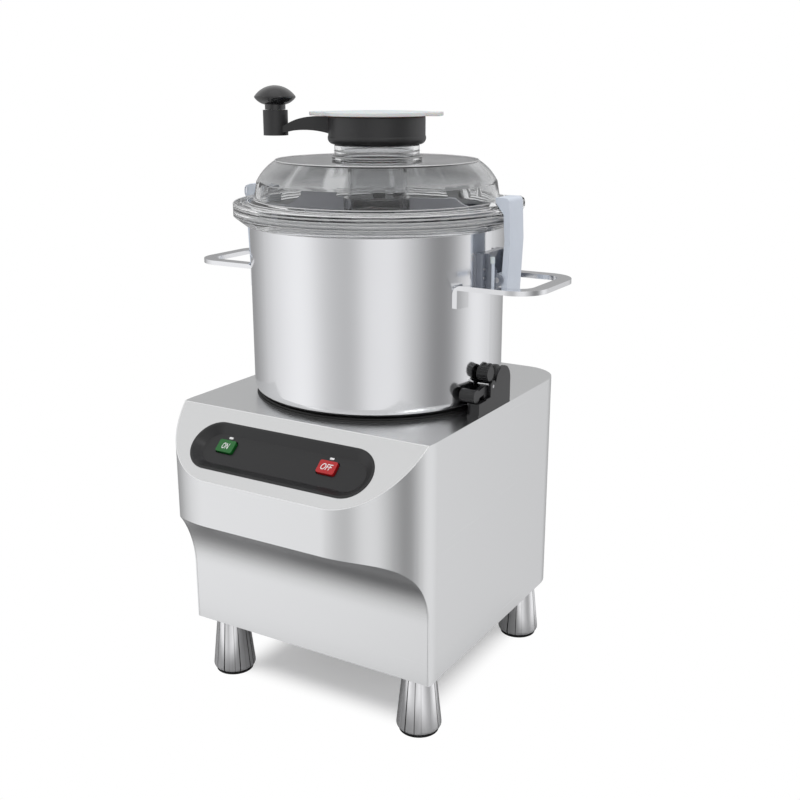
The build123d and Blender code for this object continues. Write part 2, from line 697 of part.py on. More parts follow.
def shaft_section(extra):
    """The shaft's D section at its top, or the bore that takes it."""
    with Locations((0, BOWL_Y)):
        Circle(SHAFT_R + extra)
    with Locations((SHAFT_FLAT + extra, BOWL_Y)):
        Rectangle(SHAFT_R, 3 * SHAFT_R, align=(Align.MIN, Align.CENTER), mode=Mode.SUBTRACT)


with BuildPart() as motor_shaft:
    disc(SHAFT_R, MOTOR_BOTTOM_Z - BEARING_H + SHAFT_END_GAP, SHAFT_TOP_Z - SHAFT_FLAT_L)
    with BuildSketch(Plane.XY.offset(SHAFT_TOP_Z - SHAFT_FLAT_L)):
        shaft_section(0)
    extrude(amount=SHAFT_FLAT_L)
finish(motor_shaft, "motor_shaft")

with BuildPart() as rotor_core:
    disc(ROTOR_R, STATOR_BOTTOM_Z, STATOR_TOP_Z, bore=SHAFT_R)
    disc(
        ROTOR_RING_R,
        STATOR_BOTTOM_Z - ROTOR_RING_H,
        STATOR_TOP_Z + ROTOR_RING_H,
        bore=ROTOR_RING_R - ROTOR_RING_T,
    )
finish(rotor_core, "rotor_core")

FAN_Z = MOTOR_BOTTOM_Z + FAN_GAP
FAN_HUB_R = SHAFT_R + FAN_HUB_T
with BuildPart() as motor_fan:
    disc(FAN_R, FAN_Z, FAN_Z + FAN_T, bore=SHAFT_R)
    disc(FAN_HUB_R, FAN_Z, FAN_Z + FAN_H, bore=SHAFT_R)
    with BuildSketch(Plane.XY.offset(FAN_Z)):
        with Locations((0, BOWL_Y)):
            with PolarLocations((FAN_R + FAN_HUB_R - FAN_T) / 2, FAN_BLADES):
                Rectangle(FAN_R - FAN_HUB_R, FAN_T)
    extrude(amount=FAN_H)
finish(motor_fan, "motor_fan")

# Start capacitor, contactor box and cable gland inside and under the housing
CAPACITOR_INSET = 33.35
CAPACITOR_BACK = 29.2
CAPACITOR_X = HOUSING_W / 2 - CAPACITOR_INSET
CAPACITOR_Y = BOWL_Y + CAPACITOR_BACK
CAPACITOR_R = 17.5
CAPACITOR_H = 75.0
CASE_ROUND = 2.0
CLIP_T = 1.5
CLIP_H = 12.0
CLIP_FOOT = 11.0
TERMINAL_W = 6.0
TERMINAL_T = 1.0
TERMINAL_H = 7.0
TERMINAL_SPACING = 10.0
with BuildPart() as capacitor:
    with BuildSketch(Plane.XY.offset(FLOOR_Z + CLIP_T)):
        with Locations((CAPACITOR_X, CAPACITOR_Y)):
            Circle(CAPACITOR_R)
    extrude(amount=CAPACITOR_H)
    fillet(capacitor.edges().group_by(Axis.Z)[-1], CASE_ROUND)
    with BuildSketch(Plane.XY.offset(FLOOR_Z + CLIP_T + CAPACITOR_H)):
        with Locations((CAPACITOR_X, CAPACITOR_Y)):
            with GridLocations(TERMINAL_SPACING, 0, 2, 1):
                Rectangle(TERMINAL_T, TERMINAL_W)
    extrude(amount=TERMINAL_H)
finish(capacitor, "capacitor")

with BuildPart() as capacitor_clip:
    with BuildSketch(Plane.XY.offset(FLOOR_Z)):
        with Locations((CAPACITOR_X, CAPACITOR_Y)):
            Circle(CAPACITOR_R + CLIP_T)
            Rectangle(2 * CAPACITOR_R, 2 * (CAPACITOR_R + CLIP_FOOT))
    extrude(amount=CLIP_T)
    with BuildSketch(Plane.XY.offset(FLOOR_Z)):
        with Locations((CAPACITOR_X, CAPACITOR_Y)):
            Circle(CAPACITOR_R + CLIP_T)
            Circle(CAPACITOR_R, mode=Mode.SUBTRACT)
    extrude(amount=CLIP_H)
    with BuildSketch(Plane.XY.offset(FLOOR_Z + CLIP_T)):
        with Locations((CAPACITOR_X, CAPACITOR_Y)):
            Circle(CAPACITOR_R)
    extrude(amount=CLIP_H, mode=Mode.SUBTRACT)
finish(capacitor_clip, "capacitor_clip")

BOX_INSET = 71.35
BOX_BACK = 78.2
BOX_X = BOX_INSET - HOUSING_W / 2
BOX_Y = BOWL_Y + BOX_BACK
BOX_L = 72.0
BOX_W = 42.0
BOX_H = 58.0
with BuildPart() as contactor_box:
    with BuildSketch(Plane.XY.offset(FLOOR_Z)):
        with Locations((BOX_X, BOX_Y)):
            RectangleRounded(BOX_L, BOX_W, 2 * CASE_ROUND)
    extrude(amount=BOX_H)
    fillet(contactor_box.edges().group_by(Axis.Z)[-1], CASE_ROUND)
finish(contactor_box, "contactor_box")

GLAND_NUT_ACROSS = 24.0
GLAND_NUT_H = 6.0
GLAND_DOME_H = 14.0
GLAND_BORE_R = 4.5
GLAND_DOME_R = 10.0
GLAND_LOCKNUT_H = 4.0
GLAND_THREAD_H = 6.0
with BuildPart() as cable_gland:
    with BuildSketch(Plane.XY.offset(LEG_H)):
        with Locations((GLAND_X, GLAND_Y)):
            RegularPolygon(GLAND_NUT_ACROSS / 2, 6, major_radius=False)
    extrude(amount=-GLAND_NUT_H)
    with BuildSketch(Plane.XY.offset(LEG_H - GLAND_NUT_H)):
        with Locations((GLAND_X, GLAND_Y)):
            Circle(GLAND_DOME_R)
    extrude(amount=GLAND_NUT_H - GLAND_DOME_H)
    fillet(cable_gland.edges().group_by(Axis.Z)[0], (GLAND_DOME_R - GLAND_BORE_R) / 2)
    with BuildSketch(Plane.XY.offset(LEG_H)):
        with Locations((GLAND_X, GLAND_Y)):
            Circle(GLAND_R)
    extrude(amount=BOTTOM_PLATE_T + GLAND_THREAD_H)
    with BuildSketch(Plane.XY.offset(FLOOR_Z)):
        with Locations((GLAND_X, GLAND_Y)):
            RegularPolygon(GLAND_NUT_ACROSS / 2, 6, major_radius=False)
    extrude(amount=GLAND_LOCKNUT_H)
    with BuildSketch(Plane.XY):
        with Locations((GLAND_X, GLAND_Y)):
            Circle(GLAND_BORE_R)
    extrude(amount=TOP_Z / 2, mode=Mode.SUBTRACT)
finish(cable_gland, "cable_gland")


# Bowl with its centre tube
def pot(radius, low_z, high_z, foot_r, mode=Mode.ADD):
    """A round pot's outer form with a rounded foot, in the open part."""
    with BuildSketch(BOWL_XZ) as half:
        with BuildLine():
            Polyline((0, low_z), (radius, low_z), (radius, high_z), (0, high_z), close=True)
        make_face()
        fillet(half.vertices().group_by(Axis.X)[-1].sort_by(Axis.Y)[0], foot_r)
    revolve(half.sketch, axis=BOWL_AXIS, mode=mode)


with BuildPart() as bowl_shell:
    pot(BOWL_R, BOWL_Z, BOWL_TOP_Z, BOWL_FOOT_R)
    pot(BOWL_R - BOWL_T, BOWL_Z + BOWL_T, BOWL_TOP_Z + BOWL_T, BOWL_FOOT_R - BOWL_T, Mode.SUBTRACT)
    disc(TUBE_R, BOWL_Z, TUBE_TOP_Z)
    disc(TUBE_IN_R, BOWL_Z, TUBE_TOP_Z, mode=Mode.SUBTRACT)
finish(bowl_shell, "bowl_shell")


def other_side(piece):
    """The same piece turned half round, for the left of the bowl."""
    return piece.rotate(BOWL_AXIS, 180)


# Handles: a flat bar bent into a loop, its ends turned down and welded to the bowl
HANDLE_X = BOWL_R + HANDLE_REACH


def handle_loop(reach, half_spread, corner_r):
    """A face with rounded outer corners, from the bowl axis out to a reach."""
    with BuildSketch() as loop:
        with Locations((0, BOWL_Y)):
            Rectangle(reach, 2 * half_spread, align=(Align.MIN, Align.CENTER))
        fillet(loop.vertices().group_by(Axis.X)[-1], corner_r)
    return loop.sketch


with BuildPart() as handle_right:
    with BuildSketch(Plane.XY.offset(HANDLE_TOP_Z)):
        add(handle_loop(HANDLE_X, HANDLE_SPREAD + HANDLE_BAR_W / 2, HANDLE_CORNER_R))
        add(
            handle_loop(
                HANDLE_X - HANDLE_BAR_W,
                HANDLE_SPREAD - HANDLE_BAR_W / 2,
                HANDLE_CORNER_R - HANDLE_BAR_W,
            ),
            mode=Mode.SUBTRACT,
        )
    extrude(amount=-HANDLE_BAR_T)
    for side in (-1, 1):
        with BuildSketch(Plane.XY.offset(HANDLE_TOP_Z)):
            with Locations((0, BOWL_Y)):
                Circle(BOWL_R + HANDLE_BAR_T)
            with Locations((BOWL_R, BOWL_Y + side * HANDLE_SPREAD)):
                Rectangle(BOWL_R, HANDLE_BAR_W, mode=Mode.INTERSECT)
        extrude(amount=-HANDLE_DROP)
    with BuildSketch(BOWL_XZ) as bend:
        with Locations((BOWL_R + HANDLE_BEND_R, HANDLE_TOP_Z - HANDLE_BEND_R)):
            Rectangle(HANDLE_BEND_R, HANDLE_BEND_R, align=(Align.MAX, Align.MIN))
            Circle(HANDLE_BEND_R, mode=Mode.SUBTRACT)
    revolve(bend.sketch, axis=BOWL_AXIS, mode=Mode.SUBTRACT)
    disc(BOWL_R, BOWL_Z, BOWL_TOP_Z, mode=Mode.SUBTRACT)
finish(handle_right, "handle_right")

# Latch brackets: a welded base with two ears that carry the latch pin
with BuildPart() as latch_bracket_right:
    with BuildSketch(Plane.XY.offset(BRACKET_BOTTOM_Z)):
        with Locations((0, BOWL_Y)):
            Rectangle(BRACKET_X, BRACKET_W, align=(Align.MIN, Align.CENTER))
    extrude(amount=BRACKET_TOP_Z - BRACKET_BOTTOM_Z)
    fillet(latch_bracket_right.edges().filter_by(Axis.Z).group_by(Axis.X)[-1], BRACKET_ROUND)
    for side in (-1, 1):
        ear_plane = BOWL_XZ.offset(side * (LATCH_W / 2 + RUN + EAR_T / 2))
        with BuildSketch(ear_plane):
            with BuildLine():
                Polyline(
                    (BRACKET_X - EAR_T, BRACKET_BOTTOM_Z),
                    (LATCH_PIN_X, LATCH_PIN_Z - EAR_R),
                    (LATCH_PIN_X + EAR_R, LATCH_PIN_Z),
                    (LATCH_PIN_X, LATCH_PIN_Z + EAR_R),
                    (BRACKET_X + EAR_T, BRACKET_TOP_Z),
                    (BRACKET_X - EAR_T, BRACKET_TOP_Z),
                    close=True,
                )
            make_face()
            with Locations((LATCH_PIN_X, LATCH_PIN_Z)):
                Circle(EAR_R)
                Circle(LATCH_PIN_R, mode=Mode.SUBTRACT)
        extrude(amount=EAR_T / 2, both=True)
    disc(BOWL_R, BOWL_Z, BOWL_TOP_Z, mode=Mode.SUBTRACT)
finish(latch_bracket_right, "latch_bracket_right")

with BuildPart() as latch_pin_right:
    with BuildSketch(BOWL_XZ):
        with Locations((LATCH_PIN_X, LATCH_PIN_Z)):
            Circle(LATCH_PIN_R)
    extrude(amount=LATCH_W / 2 + RUN + EAR_T, both=True)
finish(latch_pin_right, "latch_pin_right")

# Latches: a moulded lever with a sloped hook that bears on the lid's lug
with BuildPart() as latch_right:
    with BuildSketch(BOWL_XZ) as lever:
        with BuildLine():
            Polyline(
                (LATCH_BELLY_X - LATCH_TAPER, LATCH_FOOT_Z),
                (LATCH_BELLY_X, LATCH_BELLY_Z),
                (LATCH_BELLY_X - LATCH_TAPER, LATCH_TOP_Z),
                (HOOK_TIP_X, LATCH_TOP_Z),
                (HOOK_TIP_X, HOOK_TIP_Z),
                (HOOK_ROOT_X, HOOK_ROOT_Z),
                (LATCH_IN_X, LATCH_BELLY_Z),
                (LATCH_IN_X - LATCH_TAPER, LATCH_PIN_Z),
                (LATCH_IN_X - LATCH_TAPER, LATCH_FOOT_Z),
                close=True,
            )
        make_face()
        hook_top = lever.vertices().group_by(Axis.Y)[-1]
        fillet(hook_top.sort_by(Axis.X)[-1], HOOK_ROUND)
        fillet(hook_top.sort_by(Axis.X)[0], HOOK_TIP_ROUND)
        with Locations((LATCH_PIN_X, LATCH_PIN_Z)):
            Circle(LATCH_BOSS_R)
            Circle(LATCH_PIN_R + SHAFT_FIT, mode=Mode.SUBTRACT)
    extrude(amount=LATCH_W / 2, both=True)
finish(latch_right, "latch_right")

for right, name in (
    (handle_right, "handle_left"),
    (latch_bracket_right, "latch_bracket_left"),
    (latch_pin_right, "latch_pin_left"),
    (latch_right, "latch_left"),
):
    with BuildPart() as left:
        add(other_side(right.part))
    finish(left, name)


def dome_middle(inset):
    """A point half way along the dome's sloped wall, swollen a little outwards."""
    return (
        (DOME_SHOULDER_R + DOME_TOP_R) / 2 + DOME_SWELL - inset * 0.8,
        (DOME_SHOULDER_Z + DOME_TOP_Z) / 2 + DOME_SWELL - inset * 0.8,
    )


# Lid: a clear moulding with a thick rim, a domed wall and two latch lugs
with BuildPart() as lid_shell:
    with BuildSketch(BOWL_XZ) as lid_section:
        with BuildLine():
            rim = Polyline(
                (BOWL_R + RUN, SKIRT_Z),
                (SKIRT_R, SKIRT_Z),
                (RIM_R, RIM_SIDE_Z),
                (RIM_R, RIM_TOP_Z),
                (DOME_FOOT_R + LID_T, RIM_TOP_Z + RIM_STEP),
                (DOME_FOOT_R, RIM_TOP_Z + LID_T),
                (DOME_SHOULDER_R, DOME_SHOULDER_Z),
            )
            shoulder = ThreePointArc(rim @ 1, dome_middle(0), (DOME_TOP_R, DOME_TOP_Z))
            crown = Polyline(
                shoulder @ 1,
                (SPIGOT_R - LID_T, DOME_TOP_Z),
                (SPIGOT_R - LID_T, DOME_TOP_Z - LID_T),
                (DOME_TOP_R - LID_T / 2, DOME_TOP_Z - LID_T),
            )
            inner = ThreePointArc(
                crown @ 1, dome_middle(LID_T), (DOME_SHOULDER_R - LID_T, DOME_SHOULDER_Z - LID_T / 2)
            )
            Polyline(
                inner @ 1,
                (DOME_FOOT_R - LID_T, RIM_TOP_Z),
                (DOME_FOOT_R - LID_T, BOWL_TOP_Z + RUN + GASKET_H),
                (BOWL_R + RUN, BOWL_TOP_Z + RUN + GASKET_H),
                (BOWL_R + RUN, SKIRT_Z),
            )
        make_face()
    revolve(axis=BOWL_AXIS)
    for side in (1, -1):
        with BuildSketch(BOWL_XZ):
            with BuildLine():
                Polyline(
                    (side * LUG_IN_X, RIM_TOP_Z - RIM_STEP),
                    (side * (RIM_R - RUN), RIM_TOP_Z - RIM_STEP),
                    (side * (RIM_R - RUN), LUG_EDGE_Z),
                    (side * (HOOK_TIP_X - RUN), HOOK_TIP_Z - LUG_GAP),
                    (side * LUG_IN_X, HOOK_TIP_Z - LUG_GAP),
                    close=True,
                )
            make_face()
        extrude(amount=LATCH_W / 2, both=True)
        rib_plane = BOWL_XZ.offset(-side * (LATCH_W / 2 + 2 * RUN + RIB_T / 2))
        with BuildSketch(rib_plane) as rib:
            with Locations((side * (LUG_IN_X + RIB_X) / 2, (RIB_BOTTOM_Z + RIB_TOP_Z) / 2)):
                Rectangle(RIB_X - LUG_IN_X, RIB_TOP_Z - RIB_BOTTOM_Z)
            ends = rib.vertices().group_by(Axis.X)
            fillet(ends[-1] if side > 0 else ends[0], RIB_ROUND)
        extrude(amount=RIB_T / 2, both=True)
finish(lid_shell, "lid_shell")

# Neck: a clear ring bonded on the dome, with the spigot that the crank's collar turns on
with BuildPart() as lid_neck:
    with BuildSketch(BOWL_XZ):
        with BuildLine():
            Polyline(
                (SPIGOT_R - LID_T, DOME_TOP_Z),
                (NECK_FOOT_R, DOME_TOP_Z),
                (NECK_FOOT_R, DOME_TOP_Z + NECK_FOOT_H),
                (NECK_R, DOME_TOP_Z + NECK_FOOT_H),
                (NECK_R, NECK_Z - RUN),
                (SPIGOT_R, NECK_Z - RUN),
                (SPIGOT_R, SPIGOT_TOP_Z),
                (SPIGOT_R - LID_T, SPIGOT_TOP_Z),
                close=True,
            )
        make_face()
    revolve(axis=BOWL_AXIS)
finish(lid_neck, "lid_neck")

with BuildPart() as lid_gasket:
    disc(BOWL_R, BOWL_TOP_Z + RUN, BOWL_TOP_Z + RUN + GASKET_H, bore=DOME_FOOT_R - LID_T)
finish(lid_gasket, "lid_gasket")

# Crank: a collar that turns on the lid's neck, with its arm and post
COLLAR_WEB_Z = SPIGOT_TOP_Z + RUN
with BuildPart() as crank_ring:
    with BuildSketch(BOWL_XZ) as collar:
        with BuildLine():
            foot = Line((SPIGOT_R + RUN, NECK_Z), (RING_FOOT_R, NECK_Z))
            flank = TangentArc(foot @ 1, (RING_R, NECK_Z + RING_ROUND), tangent=(1, 0))
            Polyline(
                flank @ 1,
                (RING_R, RING_TOP_Z),
                (FEED_R, RING_TOP_Z),
                (FEED_R, COLLAR_WEB_Z),
                (SPIGOT_R + RUN, COLLAR_WEB_Z),
                foot @ 0,
            )
        make_face()
    revolve(axis=BOWL_AXIS)
    ring_rim = crank_ring.edges().filter_by(GeomType.CIRCLE).group_by(Axis.Z)[-1]
    fillet(ring_rim.sort_by(SortBy.RADIUS)[-1], RING_EDGE)
    with BuildSketch(ARM_PLANE):
        with BuildLine():
            arm_root = Line((RING_R - ARM_SINK, ARM_LOW_Z), (RING_R - ARM_SINK, ARM_TOP_Z))
            crown = Line(arm_root @ 1, (ARM_CREST, ARM_TOP_Z))
            top_fall = TangentArc(crown @ 1, (CRANK_REACH, ARM_END_Z), tangent=(1, 0))
            heel = Line(top_fall @ 1, (CRANK_REACH, POST_BOTTOM_Z))
            ThreePointArc(heel @ 1, (ARM_HOLLOW, ARM_HOLLOW_Z), arm_root @ 0)
        make_face()
    extrude(amount=ARM_W / 2, both=True)
    with BuildSketch(Plane.XY.offset(POST_BOTTOM_Z)):
        with Locations((KNOB_X, KNOB_Y)):
            Circle(POST_R)
    extrude(amount=POST_TOP_Z - POST_BOTTOM_Z)
    with BuildSketch(Plane.XY.offset(POST_TOP_Z)):
        with Locations((KNOB_X, KNOB_Y)):
            Circle(SPINDLE_R)
    extrude(amount=-SPINDLE_DEPTH, mode=Mode.SUBTRACT)
finish(crank_ring, "crank_ring")

# Feed chute: a sleeve under the collar's web that narrows to a tube with a collar for the scraper
COLLAR_R = CHUTE_R + CHUTE_T + BAR_COLLAR
with BuildPart() as feed_chute:
    with BuildSketch(BOWL_XZ):
        with BuildLine():
            Polyline(
                (FEED_R, COLLAR_WEB_Z),
                (FEED_R, CHUTE_NARROW_Z),
                (CHUTE_R, CHUTE_NARROW_Z - CHUTE_STEP),
                (CHUTE_R, CHUTE_BOTTOM_Z),
                (CHUTE_R + CHUTE_T, CHUTE_BOTTOM_Z),
                (CHUTE_R + CHUTE_T, CHUTE_NARROW_Z - CHUTE_STEP),
                (SPIGOT_R - LID_T - RUN, CHUTE_NARROW_Z),
                (SPIGOT_R - LID_T - RUN, COLLAR_WEB_Z),
                close=True,
            )
        make_face()
    revolve(axis=BOWL_AXIS)
    disc(COLLAR_R, BAR_TOP_Z - BAR_H, BAR_TOP_Z, bore=CHUTE_R)
finish(feed_chute, "feed_chute")

with BuildPart() as knob_spindle:
    with BuildSketch(Plane.XY.offset(POST_TOP_Z - SPINDLE_DEPTH)):
        with Locations((KNOB_X, KNOB_Y)):
            Circle(SPINDLE_R)
    extrude(amount=SPINDLE_DEPTH + SPINDLE_RISE)
finish(knob_spindle, "knob_spindle")

# Knob: a mushroom with a short neck, free to turn on its spindle
with BuildPart() as crank_knob:
    knob_plane = Plane(origin=(KNOB_X, KNOB_Y, 0), x_dir=(1, 0, 0), z_dir=(0, -1, 0))
    with BuildSketch(knob_plane) as mushroom:
        with BuildLine():
            neck_foot = Polyline(
                (0, POST_TOP_Z + RUN),
                (KNOB_NECK_R, POST_TOP_Z + RUN),
                (KNOB_NECK_R, POST_TOP_Z + KNOB_NECK_H),
            )
            ThreePointArc(neck_foot @ 1, KNOB_UNDER, (KNOB_R, KNOB_WAIST_Z))
            crown = TangentArc((0, KNOB_TOP_Z), (KNOB_R, KNOB_WAIST_Z), tangent=(1, 0))
            Line(crown @ 0, neck_foot @ 0)
        make_face()
        fillet(mushroom.vertices().sort_by(Axis.X)[-1], KNOB_EDGE_R)
    revolve(axis=Axis((KNOB_X, KNOB_Y, 0), (0, 0, 1)))
    with BuildSketch(Plane.XY.offset(POST_TOP_Z)):
        with Locations((KNOB_X, KNOB_Y)):
            Circle(SPINDLE_R + SHAFT_FIT)
    extrude(amount=SPINDLE_RISE + RUN, mode=Mode.SUBTRACT)
finish(crank_knob, "crank_knob")

# Scraper: two arms on the chute's collar that carry the wipers round the bowl wall
BAR_ROOT_R = COLLAR_R - BAR_SINK
with BuildPart() as scraper_frame:
    with BuildSketch(ARM_PLANE):
        for side in (-1, 1):
            with BuildLine():
                Polyline(
                    (side * BAR_ROOT_R, BAR_TOP_Z - BAR_H),
                    (side * BAR_ROOT_R, BAR_TOP_Z),
                    (side * BAR_L, BAR_TOP_Z),
                    (side * (BAR_L + BAR_H), BAR_TOP_Z - BAR_H + ARM_T),
                    (side * (ARM_IN_R + ARM_T), BAR_TOP_Z - BAR_H + ARM_T),
                    (side * (ARM_IN_R + ARM_T), ARM_BOTTOM_Z),
                    (side * ARM_IN_R, ARM_BOTTOM_Z),
                    (side * ARM_IN_R, BAR_TOP_Z - BAR_H),
                    close=True,
                )
            make_face()
    extrude(amount=BAR_T / 2, both=True)
    disc(COLLAR_R, BAR_TOP_Z - BAR_H, BAR_TOP_Z, mode=Mode.SUBTRACT)
finish(scraper_frame, "scraper_frame")

with BuildPart() as scraper_wipers:
    with BuildSketch(ARM_PLANE):
        for side in (-1, 1):
            with Locations((side * (ARM_IN_R + ARM_T + WIPER_R) / 2, (ARM_BOTTOM_Z + WIPER_TOP_Z) / 2)):
                Rectangle(WIPER_R - ARM_IN_R - ARM_T, WIPER_TOP_Z - ARM_BOTTOM_Z)
    extrude(amount=WIPER_T / 2, both=True)
finish(scraper_wipers, "scraper_wipers")


def tab_outline(reach, half_tip, half_root):
    """The four corners of a tab from the bowl axis out along the arm's line."""
    across = Vector(-ARM_DIR.Y, ARM_DIR.X, 0)
    centre = Vector(0, BOWL_Y, 0)
    tip = centre + ARM_DIR * reach
    return (
        centre - across * half_root,
        tip - across * half_tip,
        tip + across * half_tip,
        centre + across * half_root,
    )


# Feed lid: a white plate with two tabs and a plug that drops into the collar
FEED_LID_Z = RING_TOP_Z + FEED_LID_SEAT
with BuildPart() as feed_lid:
    disc(FEED_LID_R, FEED_LID_Z, FEED_LID_Z + FEED_LID_T)
    with BuildSketch(Plane.XY.offset(FEED_LID_Z)):
        with BuildLine():
            Polyline(*tab_outline(FEED_TAB_LONG, FEED_TAB_W / 4, FEED_LID_R), close=True)
        make_face()
        with BuildLine():
            Polyline(*tab_outline(-FEED_TAB_SHORT, FEED_TAB_W / 2, FEED_TAB_W / 2), close=True)
        make_face()
    extrude(amount=FEED_LID_T)
    disc(FEED_R - RUN, FEED_LID_Z - FEED_PLUG_H, FEED_LID_Z, bore=FEED_R - RUN - LID_T)
finish(feed_lid, "feed_lid")

# Cutter: a hub sleeve over the bowl's tube, two crossed pairs of sickle blades and a cap
with BuildPart() as knife_hub:
    disc(HUB_R, HUB_Z, HUB_TOP_Z)
    disc(HUB_FLANGE_R, HUB_Z, HUB_SHELF_Z)
    disc(HUB_BORE_R, HUB_Z, HUB_ROOF_Z, mode=Mode.SUBTRACT)
    with BuildSketch(Plane.XY.offset(HUB_ROOF_Z)):
        shaft_section(SHAFT_FIT)
    extrude(amount=HUB_ROOF_T, mode=Mode.SUBTRACT)
finish(knife_hub, "knife_hub")


TIP_X = BLADE_R * cos(radians(BLADE_TIP_ANGLE))
TIP_Y = BLADE_R * sin(radians(BLADE_TIP_ANGLE))
with BuildSketch() as sickle:
    with BuildLine():
        edge = ThreePointArc((0, -BLADE_RING_R), (0.67 * TIP_X, -0.9 * BLADE_RING_R), (TIP_X, TIP_Y))
        nose = Line(edge @ 1, (TIP_X - BLADE_TIP_W, TIP_Y + BLADE_TIP_W / 4))
        back = ThreePointArc(nose @ 1, (0.6 * TIP_X, -0.12 * BLADE_RING_R), (0, BLADE_RING_R))
        Line(back @ 1, edge @ 0)
    make_face()


def knife_at(low_z, turn):
    """A pair of sickle blades on one ring, turned about the axis."""
    with BuildPart() as knife:
        with BuildSketch(Plane.XY.offset(low_z)):
            with Locations((0, BOWL_Y)):
                with PolarLocations(0, 2, start_angle=turn):
                    add(sickle.sketch)
                Circle(BLADE_RING_R)
                Circle(HUB_R, mode=Mode.SUBTRACT)
        extrude(amount=BLADE_T)
    return knife


finish(knife_at(HUB_SHELF_Z, 0), "lower_knife")
finish(knife_at(BLADE2_Z, 90), "upper_knife")

with BuildPart() as knife_spacer:
    disc(SPACER_R, HUB_SHELF_Z + BLADE_T, BLADE2_Z, bore=HUB_R)
finish(knife_spacer, "knife_spacer")

with BuildPart() as knife_clamp:
    disc(HUB_FLANGE_R, BLADE2_Z + BLADE_T, BLADE2_Z + BLADE_T + CLAMP_H, bore=HUB_R)
    clamp_rim = knife_clamp.edges().filter_by(GeomType.CIRCLE).group_by(Axis.Z)[-1]
    fillet(clamp_rim.sort_by(SortBy.RADIUS)[-1], EDGE_ROUND)
finish(knife_clamp, "knife_clamp")

with BuildPart() as hub_cap:
    disc(CAP_R, HUB_TOP_Z, HUB_TOP_Z + CAP_H)
    with BuildSketch(Plane.XY.offset(HUB_TOP_Z)):
        with Locations((0, BOWL_Y)):
            with PolarLocations(CAP_R + CAP_GRIP_R / 2, CAP_GRIPS):
                Circle(CAP_GRIP_R)
    extrude(amount=CAP_H, mode=Mode.SUBTRACT)
    fillet(hub_cap.edges().group_by(Axis.Z)[-1], EDGE_ROUND)
finish(hub_cap, "hub_cap")


# Bowl catch: two cheeks on a foot, a pin, and a lever with a thumb lobe and a nose
def link(start, end, width):
    """A rounded link between two points of the open sketch."""
    span = Vector(*end) - Vector(*start)
    with Locations((Vector(*start) + Vector(*end)) / 2):
        SlotCenterToCenter(span.length, width, rotation=degrees(atan2(span.Y, span.X)))


CATCH_PIN = (CATCH_PIN_Y, CATCH_PIN_Z)
HUMP = (CATCH_BACK_Y - CATCH_HUMP_R, CATCH_TOP_Z - CATCH_HUMP_R)
with BuildPart() as catch_bracket:
    for cheek_x in (CATCH_IN_X, CATCH_OUT_X - CATCH_CHEEK_T):
        with BuildSketch(Plane.YZ.offset(cheek_x)):
            with Locations((CATCH_FRONT_Y, TOP_Z)):
                Rectangle(
                    CATCH_BACK_Y - CATCH_FRONT_Y, CATCH_STEP_Z - TOP_Z, align=(Align.MIN, Align.MIN)
                )
            with Locations(HUMP):
                Circle(CATCH_HUMP_R)
                Rectangle(2 * CATCH_HUMP_R, HUMP[1] - TOP_Z, align=(Align.CENTER, Align.MAX))
            with Locations(CATCH_PIN):
                Circle(CATCH_EAR_R)
                Rectangle(2 * CATCH_EAR_R, CATCH_PIN_Z - TOP_Z, align=(Align.CENTER, Align.MAX))
                Circle(CATCH_PIN_R, mode=Mode.SUBTRACT)
        extrude(amount=CATCH_CHEEK_T)
    with BuildSketch(Plane.XY.offset(TOP_Z)):
        with Locations((CATCH_IN_X, CATCH_BLOCK_Y)):
            Rectangle(
                CATCH_OUT_X - CATCH_IN_X, CATCH_BACK_Y - CATCH_BLOCK_Y, align=(Align.MIN, Align.MIN)
            )
    extrude(amount=CATCH_FOOT_T)
    with BuildSketch(Plane.XY.offset(TOP_Z)) as block:
        with Locations((CATCH_BLOCK_X, CATCH_BLOCK_Y)):
            Rectangle(
                CATCH_OUT_X - CATCH_BLOCK_X, CATCH_FRONT_Y - CATCH_BLOCK_Y, align=(Align.MIN, Align.MIN)
            )
        front = block.vertices().group_by(Axis.Y)[0].sort_by(Axis.X)
        fillet(front[0], CATCH_BLOCK_ROUND)
        fillet(block.vertices().group_by(Axis.Y)[0].sort_by(Axis.X)[-1], CATCH_ROUND)
    extrude(amount=CATCH_BLOCK_H)
finish(catch_bracket, "catch_bracket")

with BuildPart() as catch_pin:
    with BuildSketch(Plane.YZ.offset(CATCH_IN_X)):
        with Locations(CATCH_PIN):
            Circle(CATCH_PIN_R)
    extrude(amount=CATCH_OUT_X - CATCH_IN_X)
finish(catch_pin, "catch_pin")

LEVER_X = CATCH_IN_X + CATCH_CHEEK_T + RUN
LEVER_T = CATCH_OUT_X - CATCH_IN_X - 2 * (CATCH_CHEEK_T + RUN)
with BuildPart() as catch_lever:
    with BuildSketch(Plane.YZ.offset(LEVER_X)):
        link(CATCH_PIN, (LOBE_Y, LOBE_Z), LEVER_W)
        link(CATCH_PIN, (NOSE_Y, NOSE_Z), LEVER_W)
        with Locations(CATCH_PIN):
            Circle(LEVER_BOSS_R)
        with Locations((TAIL_Y, TAIL_Z)):
            Circle(TAIL_R)
    extrude(amount=LEVER_T)
    with BuildSketch(Plane.YZ.offset(LOBE_X)):
        with Locations((LOBE_Y, LOBE_Z)):
            Circle(LOBE_R)
    extrude(amount=CATCH_OUT_X - LOBE_X - CATCH_FOOT_T / 2)
    with BuildSketch(Plane.YZ.offset(NOSE_X)):
        with Locations((NOSE_Y, NOSE_Z)):
            Circle(NOSE_R)
    extrude(amount=CATCH_OUT_X - CATCH_CHEEK_T - NOSE_X)
    with BuildSketch(Plane.YZ.offset(LOBE_X)):
        with Locations(CATCH_PIN):
            Circle(CATCH_PIN_R + SHAFT_FIT)
    extrude(amount=CATCH_OUT_X - LOBE_X, mode=Mode.SUBTRACT)
